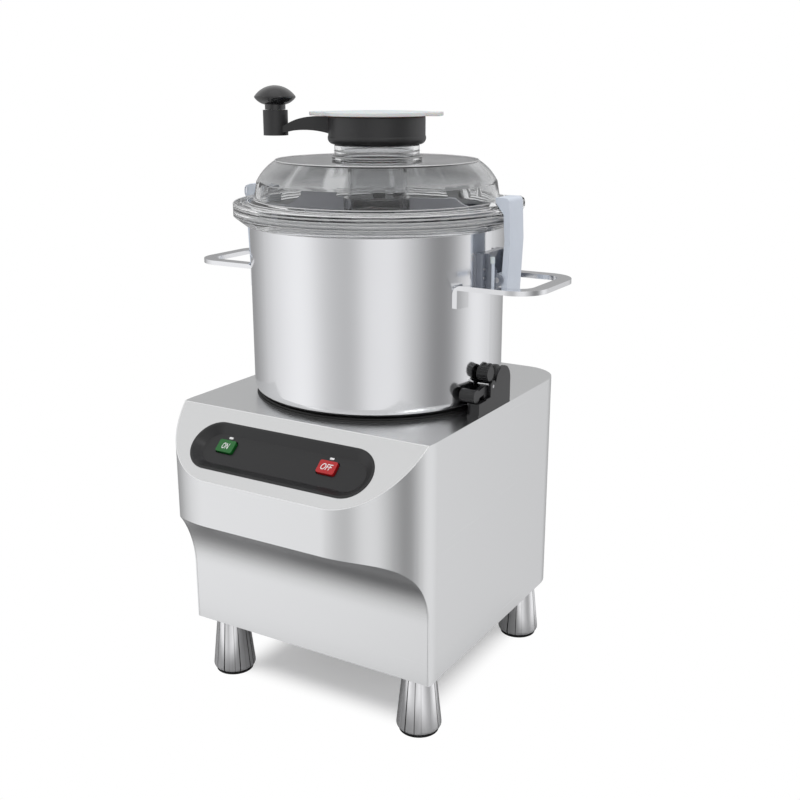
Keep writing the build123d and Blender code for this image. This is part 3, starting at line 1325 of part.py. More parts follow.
finish(catch_lever, "catch_lever")

for piece in pieces:
    export_step(piece, f"parts/{piece.label}.step")
    low, high = piece.bounding_box().min, piece.bounding_box().max
    print(f"{piece.label:22s} solids {len(piece.solids())} x {low.X:.1f} {high.X:.1f}",
          f"y {low.Y:.1f} {high.Y:.1f} z {low.Z:.1f} {high.Z:.1f}")
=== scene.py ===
"""Commercial food chopper: the finishes and fine shapes of a bowl cutter, built round its frame."""

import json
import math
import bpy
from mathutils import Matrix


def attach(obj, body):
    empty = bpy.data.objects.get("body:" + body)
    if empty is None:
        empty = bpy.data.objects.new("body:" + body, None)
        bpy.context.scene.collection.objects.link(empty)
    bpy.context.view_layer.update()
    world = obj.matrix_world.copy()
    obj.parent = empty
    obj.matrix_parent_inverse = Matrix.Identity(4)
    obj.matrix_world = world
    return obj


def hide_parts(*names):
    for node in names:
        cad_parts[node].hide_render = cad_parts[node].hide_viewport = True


bl_info = {
    "name": "Commercial food chopper",
    "version": (1, 0, 0),
    "blender": (4, 5, 0),
    "location": "View3D > Sidebar > Chopper",
    "description": "Builds the finishes and fine shapes of a bowl cutter round its frame",
    "category": "Add Mesh",
}

import bmesh
import bpy
from bpy.props import FloatProperty, FloatVectorProperty, PointerProperty
from mathutils import Matrix, Vector

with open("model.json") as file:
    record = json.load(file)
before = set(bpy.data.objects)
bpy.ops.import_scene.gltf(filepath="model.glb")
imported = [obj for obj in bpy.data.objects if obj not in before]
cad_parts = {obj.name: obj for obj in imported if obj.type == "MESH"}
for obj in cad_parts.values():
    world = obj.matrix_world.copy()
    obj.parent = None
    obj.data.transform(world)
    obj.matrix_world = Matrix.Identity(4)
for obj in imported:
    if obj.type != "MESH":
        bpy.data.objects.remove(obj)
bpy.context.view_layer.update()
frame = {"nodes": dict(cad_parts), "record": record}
MM = 0.001

# Camera of the photograph, in millimetres and degrees; its clipping in metres
CAMERA_PLACE = (546.9, -858.0, 575.9)
CAMERA_AZIMUTH = 30.714
CAMERA_DOWN = 16.283
CAMERA_LENS = 48.97
SENSOR_W = 36.0
CLIP_START, CLIP_END = 0.05, 50

# Studio: azimuth in degrees from +X towards +Y, and the grey that steel reflects from there
STUDIO_BANDS = (
    (-180, 0.62),
    (-165, 0.78),
    (-140, 1.00),
    (-122, 0.96),
    (-106, 0.66),
    (-88, 0.52),
    (-77, 0.60),
    (-66, 0.86),
    (-45, 0.90),
    (-33, 0.72),
    (-18, 0.44),
    (-5, 0.26),
    (8, 0.30),
    (20, 0.55),
    (36, 1.00),
    (55, 0.84),
    (75, 0.60),
    (100, 0.36),
    (150, 0.30),
    (170, 0.50),
)
BAND_BLUE = 1.01

# The surround above the bands, straight overhead and below the horizon: its grey, and the sines of
# the elevations between which it takes over
SURROUND = ((0.80, 0.05, 0.65), (1.0, 0.92, 0.98), (0.62, -0.45, -0.8))

# The surround's colour for lighting alone
LIGHTING_GREY = (0.78, 0.78, 0.79, 1)

# Two soft windows high in the studio: azimuth, elevation and half width in degrees, and strength;
# then how far their edges fade outwards and inwards, in cosines
WINDOWS = ((-128, 40, 7, 1.6), (-20, 44, 6, 5.0))
WINDOW_OUTSIDE, WINDOW_INSIDE = 0.004, 0.002

# Floor: its side in metres, its grey for lighting, to the eye and in steel, and its glow to the eye
FLOOR_SIDE = 12.0
FLOOR_GREY = 0.72
FLOOR_SEEN_GREY = 0.93
FLOOR_MIRRORED_GREY = 0.20
FLOOR_GLOW = 0.24

# Patch of the floor that steel mirrors, in metres: its middle, half its sides, and the distances
# from its edge between which it opens to the studio
MIRROR_X = -0.06
MIRROR_HALF = (0.19, 0.14)
MIRROR_START, MIRROR_END = -0.01, 0.07

# Shadow on the floor, in metres: half its sides, its middle, its rounding, and the distances from
# its edge between which it fades to white
SHADE_HALF = (0.088, 0.100)
SHADE_Y = 0.030
SHADE_ROUND = 0.02
SHADOW_START, SHADOW_END = -0.010, 0.030

# Overhead lamp, in metres and watts
LAMP_PLACE = (-0.3, -0.2, 2.2)
LAMP_TARGET = (0, 0, 0.2)
LAMP_SIDE = 1.8
LAMP_POWER = 14

# How squarely a face looks along X before its grain turns along Y, and the detail of the noises
SIDEWAYS = 0.7
COARSE_DETAIL = 2.0
FINE_DETAIL = 3.0

# How far tone and roughness drift, as a share, and the depth of the relief in metres
STEEL_TONE, STEEL_SPREAD, STEEL_DEPTH = 0.008, 0.03, 0.0000002
POLISH_TONE, POLISH_SPREAD, POLISH_DEPTH = 0.02, 0.2, 0.0000008
PLASTIC_TONE, PLASTIC_SPREAD, PLASTIC_DEPTH = 0.06, 0.15, 0.00001

# Polish: how fine its rings are up the axis and how slowly they change round it
POLISH_RINGS = 900.0
POLISH_STRETCH = 4.0

# Clear plastic: blend and bounds of its turn from smoky, a painted shade, to clear, a painted reflection,
# as it faces away; its refraction, how far its roughness drifts, and its noises' scales and relief in
# metres
CLEAR_BLEND = 0.5
CLEAR_FROM, CLEAR_FULL = 0.35, 0.9
CLEAR_IOR = 1.45
CLEAR_SPREAD = 0.4
CLEAR_PEBBLE, CLEAR_DRIFT, CLEAR_DEPTH = 40.0, 12.0, 0.00003

# The dome: where its clear rim starts and how soon it is clear, in millimetres, and the scale,
# detail, bounds and share of its painted light streaks, clearer bands that stand in for reflections
DOME_RIM_R = 117
DOME_RIM_FADE = 3
LIGHT_STREAK_SCALE = 2.6
LIGHT_STREAK_DETAIL = 3.0
LIGHT_STREAK_FROM, LIGHT_STREAK_FULL, LIGHT_STREAK_SHARE = 0.52, 0.62, 0.55

# Painted reflections round a leg, upright streaks of dark and bright in its colour: how many, how fine,
# the places and tones of the dark ones, and where bright starts
REFLECTION_STREAK_SCALE = 9.0
REFLECTION_STREAK_DETAIL = 3.0
REFLECTION_STREAK_DARKS = ((0.34, 0.03), (0.39, 0.7))
REFLECTION_STREAK_BRIGHT = 0.42

# Angles in degrees: a fold below the first is flat, a block's edge above the second is rounded, and
# edges above the last two stay sharp in the shading
FLAT_DEGREES = 0.4
BLOCK_DEGREES = 28
EASED_DEGREES = 40
BEAD_DEGREES = 60

# Points closer than this are one, in metres
MERGE = 0.00001
LATHE_MERGE = 0.000001

# Steps of the curved shapes
LATHE_TURNS = 160
HEM_STEPS = 24
CORNER_STEPS = 6
BEAD_RESOLUTION = 2
LETTER_RESOLUTION = 6

# The housing's sheet, in millimetres, for the hems along its folds: round hems in a brighter steel that
# paints the highlight lines of the folds
HALF_W = 133.35
FRONT_Y = -171.45
TOP_Z = 287.2
LEG_H = 61.3
CORNER_R = 72.0
SLOPE_RUN = 59.1
SLOPE_DROP = 50.0
LIP_Z = 194.2
RECESS_R = 76.0
ARC_Y = -186.45
HEM_THICK = 1.3

# Lettering on the buttons, in millimetres, and its slant as a share
LETTER_SLANT = 0.25
LETTER_RISE = 0.3
ON_WIDTH = 7.4
OFF_WIDTH = 11.4

# Buttons, in millimetres: they stand a little lower than their nodes
BUTTON_W = 18.0
BUTTON_H = 12.6
BUTTON_CORNER = 1.8
BUTTON_THICK = 4.0
BUTTON_DROP = 1.2
BUTTON_EDGE = 0.8

# Beads of painted highlight on the clear lid, near-white rings that stand in for the bright lines its
# edges catch, in millimetres: name, radius, height and thickness
LID_HIGHLIGHT_BEADS = (
    ("bead_crown", 94.4, 506.9, 1.1),
    ("bead_foot", 115.4, 472.0, 1.0),
    ("bead_rim_top", 133.6, 468.9, 1.0),
    ("bead_rim_low", 134.0, 457.8, 0.9),
    ("bead_skirt", 124.2, 450.1, 0.9),
    ("bead_rim_mid", 127.0, 469.9, 0.8),
    ("bead_rim_inner", 121.0, 470.3, 0.9),
    ("bead_under_high", 131.2, 455.4, 0.8),
    ("bead_under_low", 127.6, 452.6, 0.8),
    ("bead_side_low", 133.7, 460.6, 1.5),
    ("bead_side_mid", 133.7, 463.4, 1.5),
    ("bead_side_high", 133.7, 466.3, 1.5),
    ("bead_neck_foot", 41.8, 509.9, 0.9),
    ("bead_neck", 39.4, 515.0, 0.9),
)
BEAD_SIDES = 10

# Share of bare metal in a leg's polish; the rest is diffuse, a painted brightening in place of bright
# reflections
LEG_METAL = 0.72

# Heights between which the dome turns clearer towards its foot, in metres, and how much clearer: painted
# light that lifts the shade on the scraper bar behind it
CLEAR_BELOW = 0.496
CLEAR_FOOT = 0.482
CLEAR_SHARE = 0.6

# Ribs round the head of the catch lever and its bright bar, a pin in the brighter steel that paints a
# highlight, in millimetres and degrees
GRIP_MIDDLE = (2.0, 322.5)
GRIP_R = 6.6
GRIP_THICK = 1.1
GRIP_X = (120.6, 131.0)
GRIP_COUNT = 13
GRIP_START = -40
GRIP_STEP = 22
CATCH_BAR = (-1.0, 313.2)
CATCH_BAR_THICK = 2.2

# Small parts of a latch bracket: name, slot, thickness and the line each follows, in millimetres
BRACKET_PARTS = (
    ("bracket_spring", "grey_blue_plastic", 3.2, ((131.4, 1.9, 399.5), (131.2, 1.9, 423.0))),
    ("bracket_stop", "white_plastic", 4.4, ((131.2, 1.3, 423.0), (131.0, 1.3, 428.6))),
    ("bracket_rivet_high", "bare_steel", 2.6, ((123.3, 0.0, 417.5), (124.3, 0.0, 417.5))),
    ("bracket_rivet_low", "bare_steel", 2.6, ((123.3, 0.0, 409.5), (124.3, 0.0, 409.5))),
)

# Black lip of the bowl's seat, partly the seat's black ring and partly painted shade of the ring's shadow
# and reflection on the plate: outer and inner radius, foot, top and slant, in millimetres
SEAT_SHADE_LIP = (118.4, 110.0, 287.3, 288.6, 0.5)

# Places of the bowl's axis, the legs and the sloped control face, and how flat a face on it is, in
# millimetres
BOWL_Y = 20.8
LEG_X = 108.7
LEG_FRONT_Y = -86.0
LEG_BACK_Y = 131.8
SLOPE_FLAT = 0.05
SLOPE_CENTRE = Vector((0, -141.9, 262.2))
SLOPE_OUT = Vector((0, -50.0, 59.1)).normalized()
SLOPE_UP = Vector((0, 59.1, 50.0)).normalized()


BODY_OF = {
    node: body for body, nodes in frame["record"]["behaviour"]["bodies"].items() for node in nodes
}


class ChopperSizes(bpy.types.PropertyGroup):
    """Sizes of the fine shapes, in metres."""

    sheet_edge: FloatProperty(
        name="Sheet edge",
        description="Rounding of the sheet metal's edges",
        default=0.0007,
        unit="LENGTH",
    )
    moulded_edge: FloatProperty(
        name="Moulded edge",
        description="Rounding of the plastic parts' edges",
        default=0.0006,
        unit="LENGTH",
    )
    clear_edge: FloatProperty(
        name="Clear edge",
        description="Rounding of the lid's edges",
        default=0.0008,
        unit="LENGTH",
    )
    bar_edge: FloatProperty(
        name="Bar edge",
        description="Rounding of the handle bars' edges",
        default=0.0009,
        unit="LENGTH",
    )
    letter_height: FloatProperty(
        name="Letter height",
        description="Height of the lettering on the buttons",
        default=0.0062,
        unit="LENGTH",
    )


class ChopperColours(bpy.types.PropertyGroup):
    """Colours of the finishes."""

    steel: FloatVectorProperty(
        name="Sheet steel",
        description="Satin sheet steel",
        default=(0.80, 0.805, 0.81),
        subtype="COLOR",
        size=3,
    )
    polished: FloatVectorProperty(
        name="Polished steel",
        description="Bowl, handles and knives",
        default=(0.84, 0.845, 0.86),
        subtype="COLOR",
        size=3,
    )
    black: FloatVectorProperty(
        name="Black plastic",
        description="Crank and the other plain black parts",
        default=(0.028, 0.028, 0.029),
        subtype="COLOR",
        size=3,
    )
    # Smoky tint of the dome: partly its tint, partly painted shade of the dark inside seen through it
    smoke_and_shade: FloatVectorProperty(
        name="Dome",
        description="Clear plastic seen straight through",
        default=(0.36, 0.365, 0.37),
        subtype="COLOR",
        size=3,
    )
    clear: FloatVectorProperty(
        name="Clear plastic",
        description="Clear plastic at its rim",
        default=(0.95, 0.955, 0.96),
        subtype="COLOR",
        size=3,
    )
    blue_grey: FloatVectorProperty(
        name="Blue-grey plastic",
        description="Latches",
        default=(0.70, 0.755, 0.84),
        subtype="COLOR",
        size=3,
    )


# Shader helpers
def new_material(name):
    """An empty node material with its Principled shader."""
    material = bpy.data.materials.new(name)
    material.use_nodes = True
    tree = material.node_tree
    shader = tree.nodes["Principled BSDF"]
    return material, tree, shader


def new_group(name, inputs, outputs):
    """An empty shader node group with named number inputs and outputs."""
    tree = bpy.data.node_groups.new(name, "ShaderNodeTree")
    for label, value in inputs.items():
        socket = tree.interface.new_socket(label, in_out="INPUT", socket_type="NodeSocketFloat")
        socket.default_value = value
    for label in outputs:
        tree.interface.new_socket(label, in_out="OUTPUT", socket_type="NodeSocketFloat")
    entry = tree.nodes.new("NodeGroupInput")
    leave = tree.nodes.new("NodeGroupOutput")
    return tree, entry, leave


def place_group(tree, group, **values):
    """A group node in a material, with its own values."""
    node = tree.nodes.new("ShaderNodeGroup")
    node.node_tree = group
    for label, value in values.items():
        node.inputs[label.replace("_", " ").capitalize()].default_value = value
    return node


def feed(tree, slot, value):
    """Links a socket into an input, or gives it a plain value."""
    if isinstance(value, bpy.types.NodeSocket):
        tree.links.new(value, slot)
    else:
        slot.default_value = value


def maths(tree, operation, *values):
    """A math node fed by sockets or numbers; its result socket."""
    node = tree.nodes.new("ShaderNodeMath")
    node.operation = operation
    for slot, value in zip(node.inputs, values):
        feed(tree, slot, value)
    return node.outputs[0]


def vector_maths(tree, operation, *values):
    """A vector math node fed by sockets or plain vectors; its outputs."""
    node = tree.nodes.new("ShaderNodeVectorMath")
    node.operation = operation
    for slot, value in zip(node.inputs, values):
        feed(tree, slot, value)
    return node.outputs


def split(tree, vector):
    """The three parts of a vector socket, as outputs."""
    node = tree.nodes.new("ShaderNodeSeparateXYZ")
    tree.links.new(vector, node.inputs[0])
    return node.outputs


def remap(tree, value, low, high):
    """Maps 0 to 1 onto a range; the result socket."""
    node = tree.nodes.new("ShaderNodeMapRange")
    node.inputs["To Min"].default_value = low
    node.inputs["To Max"].default_value = high
    tree.links.new(value, node.inputs["Value"])
    return node.outputs["Result"]


def remap_between(tree, value, start, end):
    """0 at start and 1 at end, smoothly; the result socket."""
    node = tree.nodes.new("ShaderNodeMapRange")
    node.interpolation_type = "SMOOTHSTEP"
    node.inputs["From Min"].default_value = start
    node.inputs["From Max"].default_value = end
    tree.links.new(value, node.inputs["Value"])
    return node.outputs["Result"]


def grey(value):
    """A plain grey, opaque."""
    return value, value, value, 1


def mixed(tree, factor, first, second):
    """A colour between two, each a socket or a plain colour; the result socket."""
    node = tree.nodes.new("ShaderNodeMix")
    node.data_type = "RGBA"
    tree.links.new(factor, node.inputs["Factor"])
    feed(tree, node.inputs["A"], first)
    feed(tree, node.inputs["B"], second)
    return node.outputs["Result"]


def drifting(tree, shader, value, roughness, spread):
    """A roughness that drifts a little either side of its own value."""
    drift = remap(tree, value, roughness * (1 - spread), roughness * (1 + spread))
    tree.links.new(drift, shader.inputs["Roughness"])


def noise(tree, vector, scale, detail):
    """A noise texture over scaled coordinates; its factor socket."""
    node = tree.nodes.new("ShaderNodeTexNoise")
    node.inputs["Scale"].default_value = 1.0
    node.inputs["Detail"].default_value = detail
    stretched = vector_maths(tree, "MULTIPLY", vector, scale)
    tree.links.new(stretched[0], node.inputs["Vector"])
    return node.outputs["Fac"]


def even_noise(tree, vector, scale, detail):
    """A noise texture scaled alike along every axis; its factor socket."""
    scales = tree.nodes.new("ShaderNodeCombineXYZ")
    for axis in "XYZ":
        tree.links.new(scale, scales.inputs[axis])
    return noise(tree, vector, scales.outputs[0], detail)


def brushed_group():
    """Fine straight grain, along Y on faces that look along X and along X elsewhere."""
    tree, entry, leave = new_group("Brushed grain", {"Along": 9.0, "Across": 3200.0}, ("Grain", "Height"))
    place = tree.nodes.new("ShaderNodeTexCoord").outputs["Object"]
    facing = split(tree, tree.nodes.new("ShaderNodeNewGeometry").outputs["Normal"])
    along_x = tree.nodes.new("ShaderNodeCombineXYZ")
    along_y = tree.nodes.new("ShaderNodeCombineXYZ")
    grains = ((along_x, ("Along", "Across", "Across")), (along_y, ("Across", "Along", "Across")))
    for combine, stretches in grains:
        for axis, source in zip("XYZ", stretches):
            tree.links.new(entry.outputs[source], combine.inputs[axis])
    grain_x = noise(tree, place, along_x.outputs[0], FINE_DETAIL)
    grain_y = noise(tree, place, along_y.outputs[0], FINE_DETAIL)
    sideways = maths(tree, "GREATER_THAN", maths(tree, "ABSOLUTE", facing["X"]), SIDEWAYS)
    difference = maths(tree, "SUBTRACT", grain_y, grain_x)
    grain = maths(tree, "MULTIPLY_ADD", difference, sideways, grain_x)
    tree.links.new(grain, leave.inputs["Grain"])
    tree.links.new(grain, leave.inputs["Height"])
    return tree


def turned_group():
    """Fine rings round the vertical axis, as polishing leaves them, and soft wiping marks."""
    values = {"Rings": POLISH_RINGS, "Smudge scale": 14.0}
    tree, entry, leave = new_group("Turned polish", values, ("Rings", "Smudge"))
    place = tree.nodes.new("ShaderNodeTexCoord").outputs["Object"]
    stretch = tree.nodes.new("ShaderNodeCombineXYZ")
    stretch.inputs["X"].default_value = POLISH_STRETCH
    stretch.inputs["Y"].default_value = POLISH_STRETCH
    tree.links.new(entry.outputs["Rings"], stretch.inputs["Z"])
    tree.links.new(noise(tree, place, stretch.outputs[0], COARSE_DETAIL), leave.inputs["Rings"])
    smudge = even_noise(tree, place, entry.outputs["Smudge scale"], FINE_DETAIL)
    tree.links.new(smudge, leave.inputs["Smudge"])
    return tree


def moulded_group():
    """The fine pebble of moulded plastic and a slow drift of its tone."""
    tree, entry, leave = new_group("Moulded grain", {"Pebble": 2600.0, "Drift": 25.0}, ("Pebble", "Drift"))
    place = tree.nodes.new("ShaderNodeTexCoord").outputs["Object"]
    for label in ("Pebble", "Drift"):
        texture = even_noise(tree, place, entry.outputs[label], COARSE_DETAIL)
        tree.links.new(texture, leave.inputs[label])
    return tree


def bump(tree, shader, height, depth):
    """Feeds a height, in metres at full scale, into the shader's normal."""
    node = tree.nodes.new("ShaderNodeBump")
    node.inputs["Strength"].default_value = 1.0
    node.inputs["Distance"].default_value = depth
    tree.links.new(height, node.inputs["Height"])
    tree.links.new(node.outputs["Normal"], shader.inputs["Normal"])


def tinted(tree, shader, factor, colour, spread):
    """A base colour that drifts a little either side of its own value."""
    dark = tuple(max(0.0, part * (1 - spread)) for part in colour)
    light = tuple(min(1.0, part * (1 + spread)) for part in colour)
    tree.links.new(mixed(tree, factor, (*dark, 1), (*light, 1)), shader.inputs["Base Color"])


def steel_material(name, colour, roughness, across=3200.0, depth=STEEL_DEPTH):
    """Satin steel with straight grain."""
    material, tree, shader = new_material(name)
    grain = place_group(tree, bpy.data.node_groups["Brushed grain"], across=across)
    shader.inputs["Metallic"].default_value = 1.0
    tinted(tree, shader, grain.outputs["Grain"], colour, STEEL_TONE)
    drifting(tree, shader, grain.outputs["Grain"], roughness, STEEL_SPREAD)
    bump(tree, shader, grain.outputs["Height"], depth)
    return material


def polished_material(name, colour, roughness):
    """Polished steel with faint rings and wiping marks."""
    material, tree, shader = new_material(name)
    polish = place_group(tree, bpy.data.node_groups["Turned polish"], rings=POLISH_RINGS)
    shader.inputs["Metallic"].default_value = 1.0
    tinted(tree, shader, polish.outputs["Smudge"], colour, POLISH_TONE)
    drifting(tree, shader, polish.outputs["Smudge"], roughness, POLISH_SPREAD)
    bump(tree, shader, polish.outputs["Rings"], POLISH_DEPTH)
    return material


def plastic_material(
    name, colour, roughness, depth=PLASTIC_DEPTH, coat=0.0, transmission=0.0, subsurface=0.0
):
    """Moulded plastic with a fine pebble."""
    material, tree, shader = new_material(name)
    mould = place_group(tree, bpy.data.node_groups["Moulded grain"])
    tinted(tree, shader, mould.outputs["Drift"], colour, PLASTIC_TONE)
    drifting(tree, shader, mould.outputs["Drift"], roughness, PLASTIC_SPREAD)
    bump(tree, shader, mould.outputs["Pebble"], depth)
    shader.inputs["Coat Weight"].default_value = coat
    shader.inputs["Transmission Weight"].default_value = transmission
    shader.inputs["Subsurface Weight"].default_value = subsurface
    return material


def radius_of(tree, place, middle_y):
    """Distance from the bowl's axis, in metres; the result socket."""
    shifted = vector_maths(tree, "SUBTRACT", place, (0, middle_y, 0))
    flat = vector_maths(tree, "MULTIPLY", shifted[0], (1, 1, 0))
    return vector_maths(tree, "LENGTH", flat[0])["Value"]


def dome_clearness(tree, clearness):
    """How clear the dome is: fully at its rim; less smoky towards its foot, painted light on the shaded
    scraper bar behind; and in bands round it, painted light streaks.
    """
    place = tree.nodes.new("ShaderNodeTexCoord").outputs["Object"]
    radius = radius_of(tree, place, BOWL_Y * MM)
    outward = remap_between(tree, radius, DOME_RIM_R * MM, (DOME_RIM_R + DOME_RIM_FADE) * MM)
    parts = split(tree, place)
    from_axis = maths(tree, "SUBTRACT", parts["Y"], BOWL_Y * MM)
    # Painted light streaks: clearer bands round the dome that stand in for its reflections
    light_streak = tree.nodes.new("ShaderNodeTexNoise")
    light_streak.noise_dimensions = "1D"
    light_streak.inputs["Scale"].default_value = LIGHT_STREAK_SCALE
    light_streak.inputs["Detail"].default_value = LIGHT_STREAK_DETAIL
    tree.links.new(maths(tree, "ARCTAN2", from_axis, parts["X"]), light_streak.inputs["W"])
    streaking = remap_between(tree, light_streak.outputs["Fac"], LIGHT_STREAK_FROM, LIGHT_STREAK_FULL)
    bands = maths(tree, "MULTIPLY", streaking, LIGHT_STREAK_SHARE)
    # Painted light: clearer towards the foot, to lift the shade on the scraper bar behind
    shade_lift = remap_between(tree, parts["Z"], CLEAR_BELOW, CLEAR_FOOT)
    low = maths(tree, "MULTIPLY", shade_lift, CLEAR_SHARE)
    for more in (outward, bands, low):
        clearness = maths(tree, "MAXIMUM", clearness, more)
    return clearness


def clear_material(name, smoke_and_shade, clear, roughness, dome=False):
    """Clear plastic with a faint drift in its roughness, smokier where one looks straight through it, a
    painted shade of the dark inside, and clearer towards grazing, a painted reflection.
    """
    material, tree, shader = new_material(name)
    grain = bpy.data.node_groups["Moulded grain"]
    mould = place_group(tree, grain, pebble=CLEAR_PEBBLE, drift=CLEAR_DRIFT)
    # Painted light: darker face on, as the dark inside would look, and lighter at grazing, as reflections
    # would look
    facing = tree.nodes.new("ShaderNodeLayerWeight")
    facing.inputs["Blend"].default_value = CLEAR_BLEND
    clearness = remap_between(tree, facing.outputs["Facing"], CLEAR_FROM, CLEAR_FULL)
    if dome:
        clearness = dome_clearness(tree, clearness)
    tree.links.new(mixed(tree, clearness, (*smoke_and_shade, 1), (*clear, 1)), shader.inputs["Base Color"])
    shader.inputs["Transmission Weight"].default_value = 1.0
    shader.inputs["IOR"].default_value = CLEAR_IOR
    drifting(tree, shader, mould.outputs["Drift"], roughness, CLEAR_SPREAD)
    bump(tree, shader, mould.outputs["Pebble"], CLEAR_DEPTH)
    return material


def leg_reflection_material(name, colour, roughness):
    """Mirror-polished leg with painted reflections: fine upright streaks of dark and bright colour that
    run round each leg.
    """
    material, tree, shader = new_material(name)
    place = split(tree, tree.nodes.new("ShaderNodeTexCoord").outputs["Object"])
    across = maths(tree, "SUBTRACT", maths(tree, "ABSOLUTE", place["X"]), LEG_X * MM)
    rear = maths(tree, "GREATER_THAN", place["Y"], 0.0)
    middle = maths(tree, "MULTIPLY_ADD", rear, (LEG_BACK_Y - LEG_FRONT_Y) * MM, LEG_FRONT_Y * MM)
    along = maths(tree, "SUBTRACT", place["Y"], middle)
    angle = maths(tree, "ARCTAN2", along, across)
    # Painted reflections: dark and bright upright streaks in the base colour
    reflection_streak = tree.nodes.new("ShaderNodeTexNoise")
    reflection_streak.noise_dimensions = "1D"
    reflection_streak.inputs["Scale"].default_value = REFLECTION_STREAK_SCALE
    reflection_streak.inputs["Detail"].default_value = REFLECTION_STREAK_DETAIL
    tree.links.new(angle, reflection_streak.inputs["W"])
    ramp = tree.nodes.new("ShaderNodeValToRGB")
    for element, (position, tone) in zip(ramp.color_ramp.elements, REFLECTION_STREAK_DARKS):
        element.position = position
        element.color = grey(tone)
    bright = ramp.color_ramp.elements.new(REFLECTION_STREAK_BRIGHT)
    bright.color = (*colour, 1)
    tree.links.new(reflection_streak.outputs["Fac"], ramp.inputs["Fac"])
    tree.links.new(ramp.outputs["Color"], shader.inputs["Base Color"])
    # Painted brightening: the share that is not bare metal lightens the legs in place of bright
    # reflections
    shader.inputs["Metallic"].default_value = LEG_METAL
    polish = place_group(tree, bpy.data.node_groups["Turned polish"], rings=POLISH_RINGS)
    drifting(tree, shader, polish.outputs["Smudge"], roughness, POLISH_SPREAD)
    return material


MADE = {}


def finishes():
    """Every finish of the machine, by its slot, made once."""
    if not MADE:
        MADE.update(make_materials())
    return MADE


def make_materials():
    """Makes every finish of the machine."""
    colours = bpy.context.scene.chopper_colours
    brushed_group()
    turned_group()
    moulded_group()
    return {
        "brushed_steel": steel_material("Satin sheet steel", colours.steel, 0.27),
        "polished_steel": polished_material("Polished steel", colours.polished, 0.13),
        "bare_steel": steel_material("Machined steel", (0.55, 0.55, 0.56), 0.32, 3000.0),
        "cast_metal": steel_material("Cast aluminium", (0.6, 0.6, 0.61), 0.5, 300.0, 0.00002),
        "black_plastic": plastic_material("Black satin plastic", colours.black, 0.38),
        "black_gloss": plastic_material(
            "Black gloss plastic", (0.012, 0.012, 0.013), 0.14, depth=0.000002, coat=0.5
        ),
        "green_plastic": plastic_material("Green button", (0.008, 0.13, 0.02), 0.35),
        "red_plastic": plastic_material("Red button", (0.46, 0.012, 0.015), 0.35),
        "lamp_plastic": plastic_material("Lamp window", (0.9, 0.9, 0.9), 0.25),
        "white_plastic": plastic_material("White plastic", (0.80, 0.81, 0.81), 0.35, subsurface=0.2),
        "grey_blue_plastic": plastic_material("Blue-grey plastic", colours.blue_grey, 0.36),
        "clear_plastic": clear_material("Clear plastic", colours.smoke_and_shade, colours.clear, 0.02, dome=True),
        "rubber": plastic_material("Black rubber", (0.012, 0.012, 0.012), 0.55),
        "gasket_rubber": plastic_material("Clear silicone", (0.90, 0.91, 0.92), 0.3, transmission=0.4),
        "board": plastic_material("Circuit board", (0.02, 0.14, 0.06), 0.4),
        "motor_paint": plastic_material("Motor paint", (0.05, 0.055, 0.06), 0.4),
        "winding": plastic_material("Copper winding", (0.42, 0.17, 0.06), 0.35),
        "leg_polish_and_reflections": leg_reflection_material("Leg polish and painted reflections", (0.96, 0.96, 0.97), 0.12),
        "chute_clear": clear_material("Chute plastic", (0.80, 0.805, 0.81), colours.clear, 0.02),
        "scraper_plastic": plastic_material("Scraper plastic", (0.86, 0.87, 0.95), 0.4),
        "bracket_plastic": plastic_material("Bracket plastic", (0.20, 0.22, 0.26), 0.16, coat=0.4),
        # Brighter than the sheet steel: painted highlight for the hems and the catch bar
        "highlight_steel": steel_material("Bright steel of painted highlight", (0.93, 0.935, 0.94), 0.3),
        "dark_plastic": plastic_material("Deep black plastic", (0.013, 0.013, 0.014), 0.34),
        # Near-white finish of the lid's beads: painted highlight lines, not a moulded feature
        "bead": plastic_material("Painted highlight bead", (0.97, 0.97, 0.975), 0.12, transmission=0.3),
    }


# Nodes whose finish is a closer match than their slot's usual one
FINISH_OF = {
    "control_dish": "dark_plastic",
    "catch_bracket": "dark_plastic",
    "catch_lever": "dark_plastic",
    "leg_front_left": "leg_polish_and_reflections",
    "leg_front_right": "leg_polish_and_reflections",
    "leg_rear_left": "leg_polish_and_reflections",
    "leg_rear_right": "leg_polish_and_reflections",
    "lid_neck": "chute_clear",
    "feed_chute": "chute_clear",
    "scraper_frame": "scraper_plastic",
    "latch_bracket_right": "bracket_plastic",
    "latch_bracket_left": "bracket_plastic",
}


def slot_of(node):
    """The material slot that the record gives a node."""
    for entry in frame["record"]["subparts"]:
        if entry["node"] == node:
            return entry["material_slot"]
    raise ValueError(f"no material slot for {node}")


def finish_of(node):
    """A node's finish: its own closer match, or its slot's usual one."""
    return finishes()[FINISH_OF.get(node, slot_of(node))]


# Mesh helpers
def new_piece(name, mesh, body, finish):
    """A finished object that rides on a body."""
    piece = bpy.data.objects.new(name, mesh)
    bpy.context.scene.collection.objects.link(piece)
    piece.data.materials.clear()
    piece.data.materials.append(finish)
    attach(piece, body)
    return piece


def smooth(mesh, sharp_degrees=30):
    """Smooth shading, kept crisp across the sharper edges."""
    for face in mesh.polygons:
        face.use_smooth = True
    mesh.set_sharp_from_angle(angle=math.radians(sharp_degrees))


